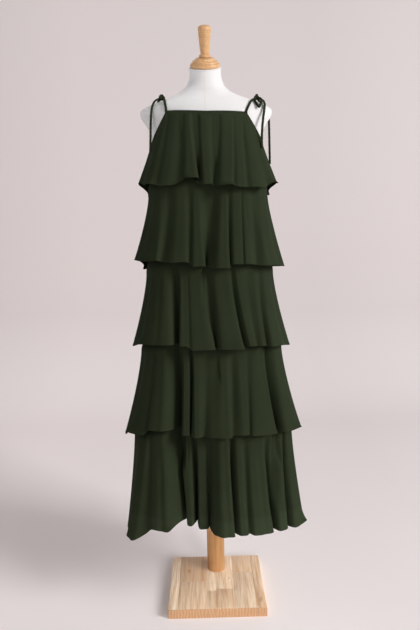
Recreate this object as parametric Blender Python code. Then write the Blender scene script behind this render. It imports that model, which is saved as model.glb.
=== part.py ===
"""Tiered chiffon dress with tie shoulders, worn by a limbless dress form on a wooden stand.

Metres, +Z up. The origin is the middle of the base board's underside and the front looks along -Y.
A turn is an angle round the dress in degrees: 0 is the middle of the front, 90 is the viewer's
right side and 180 is the middle of the back.
"""
import math
from collections import namedtuple

import bmesh
import bpy
import numpy as np
from mathutils import Vector
from mathutils.bvhtree import BVHTree

# Gaps and walls
GAP = 0.0003
PANEL_TRIM = 0.7 * GAP
CLOTH = 0.0012
SEAT = 0.0004
EDGE_ROOM = 0.0017
LINING_ROOM = 0.004
NEXT_TIER_ROOM = 0.012
NESTING_GAP = 0.0045
TINY = 1e-9

# Stand and form, with angles in degrees
BOARD_SIDE = 0.300
BOARD_THICK = 0.028
BOARD_ROUND = 0.003
POLE_RADIUS = 0.0290
POLE_BACK = 0.075
NECK_TILT = 25.0
NECK_HEIGHT = 1.630
NECK_OFFSET = -0.020
FORM_BOTTOM = 0.880
FORM_STEP = 7.5
SMOOTH_ANGLE = 50.0

# The dress's bound top edge
SIDE_TURN = 90.0
CORNER_TURN = 45.0
FRONT_NECK = 1.491
BACK_NECK = 1.476
UNDERARM = 1.420
LEFT_RISE = 0.008
CORNER_REACH = 0.134
BINDING_DEEP = 0.006
BINDING_THICK = 0.0036
SLOPE_RUN = 0.012
STEEPEST = 1.5

# Ties: a stub is the start of a tie that is one piece with its knot
TIE_RADIUS = 0.0030
TIE_SPACING = 0.014
TIE_LIFT = 0.0014
ROUTE_SPACING = 0.004
KNOT_RADIUS = 0.0070
STUB_LENGTH = 0.016
STRAP_OUT = 0.0006
STRAP_RISE = 0.0018
STRAP_BESIDE = 0.010
STRAP_TOP_ANGLE = 84.0
SHOULDER_MIDDLE = 1.465
FAR_OUTSIDE = 0.3
LOOP_CROSSING = 1.07
LOOP_BULGE = 4.0
SECOND_SIDE = 0.85

# Tiers: how their rings and folds are shaped, and the rows of each panel as shares of its height
TIER_POWER = 2.8
FOLD_GROWTH = 0.8
FIRST_GROWTH = 0.55
FLARE = 1.35
FOLD_ROUNDING = 0.10
TUCK_GROWTH = 2.0
MITRE_LIMIT = 0.6
WIDE_FOLD = 13.0
FIRST_TIER_ROWS = (0.0, 0.35, 0.7, 1.0)
OTHER_TIER_ROWS = (0.0, 0.5, 0.75, 1.0)
LOWER_PART = 0.7

Section = namedtuple("Section", "height half_width front back power centre tilt")
Ring = namedtuple("Ring", "half_width front back")
Fold = namedtuple("Fold", "top_left top_right hem_left hem_right setback trough tuck drop")
Tier = namedtuple("Tier", "name seam under hem back_drop upper lower")
Bow = namedtuple("Bow", "side knot front_loop back_loop")
Loop = namedtuple("Loop", "direction length half_width sag upright")

# The form's body from its underside to its neck, in metres, with the neck's tilt in degrees
FORM = [
    Section(0.8803, 0.138, 0.090, 0.107, 2.4, 0.0, 0.0),
    Section(0.892, 0.151, 0.098, 0.112, 2.4, 0.0, 0.0),
    Section(0.950, 0.160, 0.104, 0.114, 2.4, 0.0, 0.0),
    Section(1.060, 0.152, 0.100, 0.108, 2.4, 0.0, 0.0),
    Section(1.170, 0.130, 0.090, 0.092, 2.4, 0.0, 0.0),
    Section(1.240, 0.126, 0.090, 0.088, 2.4, 0.0, 0.0),
    Section(1.300, 0.141, 0.101, 0.092, 2.4, 0.0, 0.0),
    Section(1.360, 0.1583, 0.1113, 0.0983, 2.4, 0.0, 0.0),
    Section(1.420, 0.158, 0.100, 0.094, 2.1, 0.0, 0.0),
    Section(1.445, 0.166, 0.095, 0.087, 1.9, 0.0, 0.0),
    Section(1.470, 0.178, 0.091, 0.082, 1.9, 0.0, 0.0),
    Section(1.500, 0.195, 0.083, 0.079, 1.8, 0.0, 0.0),
    Section(1.514, 0.193, 0.076, 0.076, 1.8, 0.0, 0.0),
    Section(1.528, 0.168, 0.066, 0.070, 1.9, 0.0, 0.0),
    Section(1.541, 0.131, 0.057, 0.066, 2.0, 0.0, 0.0),
    Section(1.556, 0.092, 0.053, 0.062, 2.0, -0.002, 3.0),
    Section(1.574, 0.063, 0.051, 0.055, 2.0, -0.006, 10.0),
    Section(1.598, 0.049, 0.047, 0.047, 2.0, -0.012, 19.0),
    Section(1.630, 0.0455, 0.0455, 0.0455, 2.0, -0.020, 25.0),
]

# The lining from the neck edge to its hem
LINING = [
    Section(1.491, 0.152, 0.093, 0.089, 2.4, 0.0, 0.0),
    Section(1.420, 0.162, 0.104, 0.099, 2.4, 0.0, 0.0),
    Section(1.360, 0.160, 0.113, 0.100, 2.4, 0.0, 0.0),
    Section(1.345, 0.159, 0.113, 0.100, 2.4, 0.0, 0.0),
    Section(1.120, 0.165, 0.112, 0.114, 2.4, 0.0, 0.0),
    Section(0.885, 0.176, 0.115, 0.121, 2.4, 0.0, 0.0),
    Section(0.640, 0.190, 0.118, 0.128, 2.4, 0.0, 0.0),
    Section(0.345, 0.208, 0.124, 0.138, 2.4, 0.0, 0.0),
]
LINING_ROWS = [1.360, 1.345, 1.120, 0.885, 0.640, 0.345]

# Folds run from the left side seam round the front to the right one and back behind.
# Turns are in degrees, the other columns in millimetres.
FRONT_FOLDS = {
    "tier_1": [
        Fold(-98, -82, -100, -78, 0, 8, 3, -24),
        Fold(-52, -44, -56, -45, 0, 5, 0, -9),
        Fold(-36, -27, -34, -23, 0, 11, 0, 0),
        Fold(-17, -13, -11, -3, 0, 26, 3, -14),
        Fold(-4, 0.5, -1.5, 1, 2, 15, 1, 2),
        Fold(12, 22, 4, 11, 0, 6, 0, 8),
        Fold(28, 34, 16, 22, 0, 8, 0, 10),
        Fold(40, 46, 31, 46, 0, 6, 0, 8),
        Fold(60, 68, 60, 70, 0, 8, 0, -10),
    ],
    "tier_2": [
        Fold(-99, -80, -100, -76, 0, 9, 2, -24),
        Fold(-54, -46, -50, -34, 0, 16, 6, -16),
        Fold(-24, -17, -22, -11, 4, 11, 0, -9),
        Fold(-8, -5, -6.5, -1, 0, 30, 2, 4),
        Fold(7.5, 11, 1.5, 8, 0, 15, 0, 10),
        Fold(18, 25, 10.5, 17, 2, 5, 0, 0),
        Fold(30, 37, 19, 24, 0, 15, -1, 0),
        Fold(56, 68, 36.5, 52, 0, 9, 0, 4),
    ],
    "tier_3": [
        Fold(-99, -78, -98, -74, 0, 9, 0, 2),
        Fold(-58, -39, -53, -22, 0, 46, 4, -9),
        Fold(-22, -17, -15.5, -11.5, 8, 11, 0, -5),
        Fold(-12, -5, -7, 0.5, 0, 28, 1, 6),
        Fold(0.5, 7.5, 3, 15, 0, 22, 0, 6),
        Fold(13.5, 18, 20, 24.5, 6, 7, 0, 0),
        Fold(35.5, 39.5, 29.5, 34, 2, 18, -1, 0),
        Fold(52, 60, 40, 54.5, 0, 10, 0, 4),
    ],
    "tier_4": [
        Fold(-98, -76, -98, -76, -4, 9, 0, 24),
        Fold(-60, -53, -61, -44, -4, 9, 0, 5),
        Fold(-44.5, -32.5, -37, -20, 0, 56, 3, -12),
        Fold(-18, -13, -14.5, -9.5, 12, 34, 4, 2),
        Fold(-9, -5.5, -7, -4, 2, 16, 1, 6),
        Fold(3.5, 6, 0.5, 5.5, 0, 20, 1, 7),
        Fold(14.5, 19, 10, 15, 6, 8, 0, 4),
        Fold(29.5, 39, 18, 38, 0, 38, -3, 6),
        Fold(58, 72, 43, 62, -6, 10, 0, 5),
    ],
    "tier_5": [
        Fold(-97, -78, -98, -74, -6, 10, 0, 50),
        Fold(-56, -46, -59, -43, -24, 14, 0, 18),
        Fold(-42, -27, -34, -15.5, -6, 84, 2, -13),
        Fold(-16, -12, -13.5, -9.5, 56, 48, 1, 4),
        Fold(-7, -4, -7.5, -3, 40, 40, 1, -2),
        Fold(0, 3, -1, 4.5, 0, 38, 1, 2),
        Fold(9, 11.5, 8.5, 13, 8, 14, 0, 5),
        Fold(18, 28.5, 17.5, 32, 4, 48, -3, 6),
        Fold(42, 54, 36, 45.5, 0, 32, -1, 5),
        Fold(58, 72, 48.5, 64, -16, 12, 0, 3),
    ],
}
BACK_FOLDS = {
    "tier_1": [
        Fold(82, 98, 80, 100, 0, 10, 0, -20),
        Fold(112, 124, 112, 125, 0, 12, 0, 2),
        Fold(136, 146, 136, 148, 0, 16, 2, 0),
        Fold(158, 166, 158, 168, 0, 20, 0, 4),
        Fold(180, 190, 178, 188, 0, 12, 0, 0),
        Fold(203, 213, 201, 213, 0, 18, -2, 3),
        Fold(226, 238, 227, 241, 0, 10, 0, 2),
    ],
    "tier_2": [
        Fold(81, 99, 80, 100, 0, 12, 0, 4),
        Fold(114, 126, 113, 127, 0, 16, 2, 3),
        Fold(139, 149, 140, 152, 0, 24, 0, 0),
        Fold(163, 173, 165, 176, 0, 14, 0, 3),
        Fold(185, 195, 188, 199, 0, 26, 2, 0),
        Fold(208, 220, 210, 224, 0, 14, 0, 3),
        Fold(232, 244, 234, 247, 0, 12, 0, 2),
    ],
    "tier_3": [
        Fold(81, 99, 80, 100, 0, 14, 0, 12),
        Fold(112, 126, 112, 128, 0, 28, 2, 0),
        Fold(140, 150, 142, 153, 0, 18, 0, 4),
        Fold(160, 170, 162, 174, 0, 32, 2, 0),
        Fold(182, 192, 184, 196, 0, 20, 0, 3),
        Fold(204, 216, 206, 220, 0, 30, -2, 0),
        Fold(230, 244, 231, 246, 0, 14, 0, 2),
    ],
    "tier_4": [
        Fold(80, 98, 80, 100, -4, 16, 0, 18),
        Fold(111, 125, 112, 128, 0, 32, 2, 0),
        Fold(137, 147, 138, 150, 0, 22, 0, 5),
        Fold(158, 168, 159, 171, 0, 42, 2, 0),
        Fold(180, 190, 181, 193, 0, 20, 0, 4),
        Fold(202, 212, 203, 216, 0, 38, -2, 0),
        Fold(226, 242, 228, 246, 0, 18, 0, 4),
    ],
    "tier_5": [
        Fold(80, 98, 80, 99, -6, 20, 0, 30),
        Fold(110, 124, 111, 128, 0, 44, 2, 0),
        Fold(137, 147, 138, 150, 0, 30, 0, 6),
        Fold(157, 168, 158, 172, 0, 56, 2, 0),
        Fold(180, 190, 182, 195, 0, 34, 0, 5),
        Fold(202, 213, 205, 218, 0, 52, -2, 0),
        Fold(226, 242, 230, 247, -4, 22, 0, 10),
    ],
}

# Each tier's seam on the lining, the height where it comes out from under the tier above, its hem,
# how much lower the hem is behind, and its rings at those last two heights
TIERS = [
    Tier("tier_1", None, None, 1.283, 0.016, None, Ring(0.206, 0.152, 0.142)),
    Tier("tier_2", 1.345, 1.262, 1.060, 0.018, Ring(0.178, 0.128, 0.126), Ring(0.226, 0.165, 0.160)),
    Tier("tier_3", 1.120, 1.030, 0.828, 0.012, Ring(0.192, 0.138, 0.140), Ring(0.240, 0.178, 0.178)),
    Tier("tier_4", 0.885, 0.800, 0.581, 0.012, Ring(0.214, 0.150, 0.154), Ring(0.268, 0.198, 0.200)),
    Tier("tier_5", 0.640, 0.545, 0.298, 0.010, Ring(0.242, 0.176, 0.180), Ring(0.270, 0.228, 0.232)),
]

# Handle, collar and domed cap, as radius and height above the neck along its tilt
HANDLE_PROFILE = [
    (0.0, 0.1120), (0.0080, 0.1115), (0.0150, 0.1095), (0.0183, 0.1050), (0.0186, 0.0990),
    (0.0176, 0.0850), (0.0158, 0.0660), (0.0138, 0.0480), (0.0124, 0.0370), (0.0122, 0.0350), (0.0, 0.0350),
]
COLLAR_PROFILE = [
    (0.0, 0.0347), (0.0148, 0.0347), (0.0170, 0.0335), (0.0175, 0.0310), (0.0170, 0.0285),
    (0.0150, 0.0273), (0.0, 0.0273),
]
CAP_PROFILE = [
    (0.0, 0.0270), (0.0210, 0.0270), (0.0270, 0.0250), (0.0292, 0.0215), (0.0300, 0.0195), (0.0352, 0.0185),
    (0.0378, 0.0160), (0.0385, 0.0125), (0.0415, 0.0115), (0.0434, 0.0085), (0.0438, 0.0045),
    (0.0425, 0.0012), (0.0400, 0.0003), (0.0, 0.0003),
]

# The knots on the shoulders, and the ties that leave them
BOWS = [
    Bow("left", (-0.1275, -0.010, 1.5490), Loop((-0.25, -0.75, 0.45), 0.026, 0.0050, 0.018, True),
        Loop((-0.10, 0.45, 0.90), 0.020, 0.0040, 0.010, True)),
    Bow("right", (0.1500, -0.010, 1.5450), Loop((0.03, -0.96, -0.20), 0.048, 0.0070, 0.026, False),
        Loop((0.15, 0.48, 0.86), 0.020, 0.0044, 0.010, True)),
]
TAILS = {
    ("left", "front"): [
        (-0.1460, -0.0240, 1.5400), (-0.1545, -0.0430, 1.5215), (-0.1585, -0.0530, 1.4975),
        (-0.1605, -0.0580, 1.4656), (-0.1618, -0.0620, 1.4315), (-0.1632, -0.0670, 1.3950),
        (-0.1636, -0.0680, 1.3860),
    ],
    ("left", "back"): [
        (-0.1410, 0.0100, 1.5450), (-0.1470, 0.0340, 1.5375), (-0.1510, 0.0570, 1.5120),
        (-0.1535, 0.0670, 1.4800), (-0.1550, 0.0710, 1.4450), (-0.1565, 0.0740, 1.4100),
        (-0.1580, 0.0765, 1.3850),
    ],
    ("right", "front"): [
        (0.1655, -0.0155, 1.5375), (0.1710, -0.0310, 1.5244), (0.1690, -0.0460, 1.5039),
        (0.1640, -0.0575, 1.4760), (0.1600, -0.0635, 1.4412), (0.1582, -0.0670, 1.4100),
        (0.1590, -0.0720, 1.3900),
    ],
    ("right", "back"): [
        (0.1600, 0.0040, 1.5380), (0.1690, 0.0130, 1.5315), (0.1785, 0.0215, 1.5235),
        (0.1865, 0.0275, 1.5080), (0.1905, 0.0320, 1.4880), (0.1918, 0.0360, 1.4600),
        (0.1924, 0.0380, 1.4200), (0.1930, 0.0390, 1.3600),
    ],
}


COLOURS = {
    "chiffon": ((0.0135, 0.0180, 0.0090, 1.0), 0.85),
    "lining": ((0.0110, 0.0150, 0.0075, 1.0), 0.80),
    "form": ((0.70, 0.68, 0.66, 1.0), 0.80),
    "wood": ((0.50, 0.28, 0.13, 1.0), 0.55),
    "board": ((0.62, 0.44, 0.27, 1.0), 0.55),
}


def remove_everything():
    for item in list(bpy.data.objects):
        bpy.data.objects.remove(item, do_unlink=True)


def material(slot):
    found = bpy.data.materials.get(slot)
    if found:
        return found
    colour, roughness = COLOURS[slot]
    made = bpy.data.materials.new(slot)
    made.use_nodes = True
    shader = made.node_tree.nodes["Principled BSDF"]
    shader.inputs["Base Color"].default_value = colour
    shader.inputs["Roughness"].default_value = roughness
    shader.inputs["Metallic"].default_value = 0.0
    made.diffuse_color = colour
    return made


def add_object(name, mesh, slot):
    mesh.shade_smooth()
    mesh.set_sharp_from_angle(angle=math.radians(SMOOTH_ANGLE))
    mesh.materials.append(material(slot))
    item = bpy.data.objects.new(name, mesh)
    bpy.context.scene.collection.objects.link(item)
    return item


def mesh_from(name, points, faces):
    """A mesh of points and faces, its faces turned outwards."""
    shape = bmesh.new()
    corners = [shape.verts.new(point) for point in points]
    for face in faces:
        shape.faces.new([corners[index] for index in face])
    bmesh.ops.recalc_face_normals(shape, faces=shape.faces)
    mesh = bpy.data.meshes.new(name)
    shape.to_mesh(mesh)
    shape.free()
    return mesh


def lerp(first, second, share):
    return first + (second - first) * share


def blend_rows(sections, height):
    """The section at a height, between the two rows of the table that hold it."""
    ordered = sorted(sections, key=lambda section: section.height)
    heights = [section.height for section in ordered]
    height = min(max(height, heights[0]), heights[-1])
    upper = min(max(int(np.searchsorted(heights, height)), 1), len(ordered) - 1)
    low, high = ordered[upper - 1], ordered[upper]
    share = (height - low.height) / (high.height - low.height)
    return Section(*[lerp(a, b, share) for a, b in zip(low, high)])


def rounded_ring(turn, half_width, front, back, power):
    """A point of a rounded-square ring at a turn, as x and y."""
    angle = math.radians(turn)
    sine, cosine = math.sin(angle), math.cos(angle)
    depth = front if cosine > 0 else back
    x = half_width * math.copysign(abs(sine) ** (2.0 / power), sine)
    y = -depth * math.copysign(abs(cosine) ** (2.0 / power), cosine)
    return np.array([x, y])


def section_point(section, turn, inward=0.0):
    """A point of a body section, as x, y and z."""
    flat = rounded_ring(turn, section.half_width - inward, section.front - inward,
                        section.back - inward, section.power)
    tilt = math.radians(section.tilt)
    y = section.centre + flat[1] * math.cos(tilt)
    return np.array([flat[0], y, section.height + flat[1] * math.sin(tilt)])


def neck_edge(turn):
    """Height of the dress's bound top edge: straight at the neck, diagonal down to the underarm."""
    across = abs(math.sin(math.radians(turn))) ** (2.0 / LINING[0].power)
    corner = abs(math.sin(math.radians(CORNER_TURN))) ** (2.0 / LINING[0].power)
    pulled = max(0.0, -math.sin(math.radians(turn))) / math.sin(math.radians(CORNER_TURN))
    in_front = math.cos(math.radians(turn)) > 0
    neck = FRONT_NECK + LEFT_RISE * min(pulled, 1.0) if in_front else BACK_NECK
    share = max(0.0, (across - corner) / (1.0 - corner))
    return lerp(neck, UNDERARM, share)


def binding_depth(turn):
    """How far the binding reaches down from the edge, more where the edge runs steeply."""
    steep = abs(neck_edge(turn + 2.0) - neck_edge(turn - 2.0)) / SLOPE_RUN
    return BINDING_DEEP * math.sqrt(1.0 + min(steep, STEEPEST) ** 2)


def cloth_top(turn):
    """Height of the panels' top edge, under the binding."""
    return neck_edge(turn) - binding_depth(turn) - GAP


def polar(points):
    """The turns and the reaches of points seen from above."""
    points = np.asarray(points)
    return np.degrees(np.arctan2(points[:, 0], -points[:, 1])), np.hypot(points[:, 0], points[:, 1])


def reach_table(points, pick, window=2.5, fine=10):
    """Least or greatest reach of a closed ring from the axis, for each half degree of direction."""
    following = np.roll(points, -1, axis=0)
    steps = np.linspace(0, 1, fine, endpoint=False)
    dense = np.concatenate([lerp(points, following, share) for share in steps])
    turns, reaches = polar(dense)
    slots = np.round((turns % 360.0) * 2.0).astype(int) % 720
    table = np.full(720, np.nan)
    for slot, reach in zip(slots, reaches):
        table[slot] = reach if np.isnan(table[slot]) else pick(table[slot], reach)
    known = np.flatnonzero(~np.isnan(table))
    table = np.interp(np.arange(720), known, table[known], period=720)
    half = int(window * 2)
    shifted = [np.roll(table, step) for step in range(-half, half + 1)]
    return np.min(shifted, axis=0) if pick is min else np.max(shifted, axis=0)


def reach_at(table, turn):
    return float(np.interp((turn % 360.0) * 2.0, np.arange(720), table, period=720))


def lining_ring(height):
    section = blend_rows(LINING, height)
    return np.array([section_point(section, turn)[:2] for turn in np.arange(0.0, 360.0, FORM_STEP)])


def control_values(folds):
    """Four control points a fold: left edge, crest, right edge and the trough that follows."""
    count = len(folds)
    rows = []
    for index, fold in enumerate(folds):
        following = folds[(index + 1) % count]
        wrap = 360.0 if index == count - 1 else 0.0
        top_middle = 0.5 * (fold.top_right + following.top_left + wrap)
        hem_middle = 0.5 * (fold.hem_right + following.hem_left + wrap)
        before = folds[index - 1]
        left_round = FOLD_ROUNDING * before.trough
        right_round = FOLD_ROUNDING * fold.trough
        deepest = fold.trough + 0.5 * (fold.setback + following.setback)
        rows.append((fold.top_left, fold.hem_left, fold.setback + left_round, 0.0, fold.drop))
        rows.append((0.5 * (fold.top_left + fold.top_right), 0.5 * (fold.hem_left + fold.hem_right),
                     fold.setback, 0.0, fold.drop))
        rows.append((fold.top_right, fold.hem_right, fold.setback + right_round, 0.0, fold.drop))
        rows.append((top_middle, hem_middle, deepest, fold.tuck, 0.5 * (fold.drop + following.drop)))
    return np.array(rows)


def spline(values, place, full_turn=0.0):
    """A smooth closed curve through the values, which grow by full_turn each time round."""
    count = len(values)
    start = math.floor(place)
    share = place - start

    def value(index):
        return values[index % count] + full_turn * (index // count)

    before, first, second, after = (value(start + step) for step in (-1, 0, 1, 2))
    slope_in = 0.5 * (second - before)
    slope_out = 0.5 * (after - first)
    square, cube = share ** 2, share ** 3
    return ((2 * cube - 3 * square + 1) * first + (cube - 2 * square + share) * slope_in
            + (3 * square - 2 * cube) * second + (cube - square) * slope_out)


def fold_places(folds):
    """Where a ring is sampled: at each control point, part way into each trough and on wide folds."""
    places = []
    for index, fold in enumerate(folds):
        start = 4 * index
        places += [start, start + 1, start + 2, start + 2.5, start + 3, start + 3.5]
        if fold.hem_right - fold.hem_left > WIDE_FOLD:
            places += [start + 0.5, start + 1.5]
    return sorted(places)


def tier_column(tier, values, place):
    """Turns at top and hem, inset, tuck and hem height at one place round a tier."""
    top_turn = spline(values[:, 0], place, 360.0)
    hem_turn = spline(values[:, 1], place, 360.0)
    inset = spline(values[:, 2], place) / 1000.0
    tuck = spline(values[:, 3], place)
    drop = spline(values[:, 4], place) / 1000.0
    behind = 0.5 * (1.0 - math.cos(math.radians(hem_turn)))
    return top_turn, hem_turn, inset, tuck, tier.hem - drop - tier.back_drop * behind


def seat_on_lining(flat, height, next_turns):
    """The point beside the lining in the direction of a ring point, clear of its corners."""
    ring = lining_ring(height)
    direction = math.degrees(math.atan2(flat[0], -flat[1]))
    table = reach_table(ring, max, window=0.0)
    widest = max(abs(direction - turn) for turn in next_turns)
    sag = 2.0 * reach_at(table, direction) * (1.0 - math.cos(math.radians(0.5 * (widest + FORM_STEP))))
    reach = reach_at(table, direction) + SEAT + CLOTH + sag
    return flat * reach / np.hypot(*flat)


def bounded(flat, low, high):
    """The point moved in or out so that its reach lies between two tables."""
    direction = math.degrees(math.atan2(flat[0], -flat[1]))
    reach = np.hypot(*flat)
    wanted = max(reach, reach_at(low, direction))
    if high is not None:
        wanted = min(wanted, reach_at(high, direction))
    return flat * wanted / reach


def grid_at(grid, height):
    """The ring of a tier's grid at a height, past its hem too."""
    ring = []
    for column in np.swapaxes(grid, 0, 1):
        heights = column[:, 2]
        row = int(np.clip(np.sum(heights > height) - 1, 0, len(heights) - 2))
        share = (height - heights[row]) / (heights[row + 1] - heights[row])
        ring.append(lerp(column[row, :2], column[row + 1, :2], share))
    return np.array(ring)


def ring_shape(upper, lower, share):
    return [lerp(a, b, share) for a, b in zip(upper, lower)]


def tier_grid(tier, places, shares, above):
    """The outer points of a tier: rows down from its seam, columns round it."""
    folds = FRONT_FOLDS[tier.name] + BACK_FOLDS[tier.name]
    values = control_values(folds)
    columns = [tier_column(tier, values, place) for place in places]
    first = tier.seam is None
    rows = []
    for share in shares:
        row = []
        for top_turn, hem_turn, inset, tuck, hem in columns:
            top = cloth_top(top_turn) - EDGE_ROOM if first else tier.seam
            if first:
                height = lerp(top, hem, share)
                ring_share = share
            elif share <= 0.5:
                height = lerp(tier.seam, tier.under, share * 2.0)
                ring_share = 0.0
            else:
                height = lerp(tier.under, hem, share * 2.0 - 1.0)
                ring_share = (share * 2.0 - 1.0) ** FLARE
            grown = (top - height) / (top - hem)
            turn = lerp(top_turn, hem_turn, grown) - tuck * grown ** TUCK_GROWTH
            if first:
                section = blend_rows(LINING, top)
                upper = Ring(section.half_width, section.front, section.back)
                power = lerp(section.power, TIER_POWER, share)
            else:
                upper = tier.upper
                power = TIER_POWER
            flat = rounded_ring(turn, *ring_shape(upper, tier.lower, ring_share), power)
            sunk = inset * grown ** (FIRST_GROWTH if first else FOLD_GROWTH)
            flat = flat * (1.0 - sunk / np.hypot(*flat))
            row.append(np.array([flat[0], flat[1], height]))
        rows.append(np.array(row))
    grid = np.array(rows)
    fit_between(tier, grid, shares, above)
    return grid


def fit_between(tier, grid, shares, above):
    """Seat a tier's top edge on the lining and keep its walls between lining and upper tier."""
    rows, columns = grid.shape[:2]
    for row in range(rows):
        turns, _ = polar(grid[row, :, :2])
        for column in range(columns):
            flat, height = grid[row, column, :2], grid[row, column, 2]
            if shares[row] == 0.0:
                near = [turns[column - 1], turns[(column + 1) % columns]]
                near = [turn - 360.0 * round((turn - turns[column]) / 360.0) for turn in near]
                grid[row, column, :2] = seat_on_lining(flat, height, near)
                continue
            over_next = shares[row] >= LOWER_PART and tier is not TIERS[-1]
            room = CLOTH + (NEXT_TIER_ROOM if over_next else LINING_ROOM)
            low = lining_table(round(height, 3)) + room
            high = None
            if above is not None and shares[row] <= 0.5:
                high = above_table(above, round(height, 3)) - NESTING_GAP - CLOTH
                high = np.maximum(high, low)
            grid[row, column, :2] = bounded(flat, low, high)


TABLES = {}


def lining_table(height):
    key = ("lining", height)
    if key not in TABLES:
        TABLES[key] = reach_table(lining_ring(height), max)
    return TABLES[key]


def above_table(above, height):
    key = (id(above), height)
    if key not in TABLES:
        TABLES[key] = reach_table(grid_at(above, height), min)
    return TABLES[key]


def inner_ring(ring, thickness):
    """A ring's points moved inwards by a wall's thickness, level by level."""
    flat = ring[:, :2]
    after = np.roll(flat, -1, axis=0) - flat
    before = flat - np.roll(flat, 1, axis=0)
    after /= np.maximum(np.linalg.norm(after, axis=1), TINY)[:, None]
    before /= np.maximum(np.linalg.norm(before, axis=1), TINY)[:, None]
    along = after + before
    along /= np.maximum(np.linalg.norm(along, axis=1), TINY)[:, None]
    inward = np.stack([-along[:, 1], along[:, 0]], axis=1)
    square_on = np.abs(np.sum(along * after, axis=1))
    moved = ring.copy()
    moved[:, :2] = flat + inward * (thickness / np.maximum(square_on, MITRE_LIMIT))[:, None]
    return moved


def shell_mesh(name, outer, inner):
    """A closed wall between two grids of points, each side split along the same diagonals."""
    rows, columns = outer.shape[:2]
    points = [tuple(point) for point in np.concatenate([outer.reshape(-1, 3), inner.reshape(-1, 3)])]
    half = rows * columns

    def outside(row, column):
        return row * columns + column

    def inside(row, column):
        return half + row * columns + column

    faces = []
    for row in range(rows - 1):
        for column in range(columns - 1):
            corners = [(row, column), (row + 1, column), (row + 1, column + 1), (row, column + 1)]
            a, b, c, d = (outside(*corner) for corner in corners)
            faces += [(a, b, c), (a, c, d)]
            a, b, c, d = (inside(*corner) for corner in corners)
            faces += [(a, c, b), (a, d, c)]
    for column in range(columns - 1):
        top = (outside(0, column), outside(0, column + 1), inside(0, column + 1), inside(0, column))
        hem = (outside(rows - 1, column), inside(rows - 1, column),
               inside(rows - 1, column + 1), outside(rows - 1, column + 1))
        faces += [top, hem]
    for row in range(rows - 1):
        left = (outside(row, 0), inside(row, 0), inside(row + 1, 0), outside(row + 1, 0))
        last = columns - 1
        right = (outside(row, last), outside(row + 1, last), inside(row + 1, last), inside(row, last))
        faces += [left, right]
    return mesh_from(name, points, faces)


def trimmed(grid, start, end):
    """The columns of one panel, its two side edges moved half a seam gap apart."""
    panel = grid[:, [index % grid.shape[1] for index in range(start, end + 1)]].copy()
    for edge, beside in ((0, 1), (-1, -2)):
        along = panel[:, beside] - panel[:, edge]
        panel[:, edge] += along * PANEL_TRIM / np.linalg.norm(along[:, :2], axis=1)[:, None]
    return panel


def add_panels(name, outer, inner, sides, slot):
    left, right = sides
    around = left + outer.shape[1]
    for side, (start, end) in (("front", (left, right)), ("back", (right, around))):
        mesh = shell_mesh(f"{name}_{side}", trimmed(outer, start, end), trimmed(inner, start, end))
        add_object(f"{name}_{side}", mesh, slot)


def add_tiers():
    above = None
    for tier in TIERS:
        folds = FRONT_FOLDS[tier.name] + BACK_FOLDS[tier.name]
        places = fold_places(folds)
        shares = FIRST_TIER_ROWS if tier.seam is None else OTHER_TIER_ROWS
        outer = tier_grid(tier, places, shares, above)
        inner = np.array([inner_ring(row, CLOTH) for row in outer])
        left = places.index(1)
        right = places.index(4 * len(FRONT_FOLDS[tier.name]) + 1)
        add_panels(tier.name, outer, inner, (left, right), "chiffon")
        above = outer


def add_lining():
    turns = np.arange(-SIDE_TURN, 360.0 - SIDE_TURN, FORM_STEP)
    outer, inner = [], []
    for row in range(len(LINING_ROWS) + 1):
        outer_row, inner_row = [], []
        for turn in turns:
            height = cloth_top(turn) if row == 0 else LINING_ROWS[row - 1]
            section = blend_rows(LINING, height)
            outer_row.append([*section_point(section, turn)[:2], height])
            inner_row.append([*section_point(section, turn, CLOTH)[:2], height])
        outer.append(outer_row)
        inner.append(inner_row)
    half = len(turns) // 2
    add_panels("lining", np.array(outer), np.array(inner), (0, half), "lining")


def binding_mesh(name, turns):
    """A bound edge that closes the top of the lining and of the first tier."""
    rings = []
    for turn in turns:
        edge = neck_edge(turn)
        section = blend_rows(LINING, edge)
        outward = BINDING_THICK - CLOTH
        face = section_point(section, turn, -outward)[:2]
        behind = section_point(section, turn, CLOTH)[:2]
        low = edge - binding_depth(turn)
        rings.append([(*face, low), (*face, edge), (*behind, edge), (*behind, low)])
    points = [point for ring in rings for point in ring]
    faces = []
    for index in range(len(rings) - 1):
        start = 4 * index
        for side in range(4):
            beside = (side + 1) % 4
            a, b, c, d = start + side, start + beside, start + 4 + beside, start + 4 + side
            faces += [(a, b, c), (a, c, d)]
    last = 4 * (len(rings) - 1)
    faces += [(0, 1, 2, 3), (last, last + 1, last + 2, last + 3)]
    return mesh_from(name, points, faces)


def add_bindings():
    gap = math.degrees(GAP / CORNER_REACH)
    neck = np.arange(-CORNER_TURN, CORNER_TURN + 0.5 * FORM_STEP, FORM_STEP)
    neck[0] += gap
    neck[-1] -= gap
    add_object("neck_binding_front", binding_mesh("neck_binding_front", neck), "chiffon")
    add_object("neck_binding_back", binding_mesh("neck_binding_back", neck + 180.0), "chiffon")
    arm = np.arange(CORNER_TURN, 180.0 - CORNER_TURN + 0.5 * FORM_STEP, FORM_STEP)
    arm[0] += gap
    arm[-1] -= gap
    add_object("armhole_binding_right", binding_mesh("armhole_binding_right", arm), "chiffon")
    add_object("armhole_binding_left", binding_mesh("armhole_binding_left", arm + 180.0), "chiffon")


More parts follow.
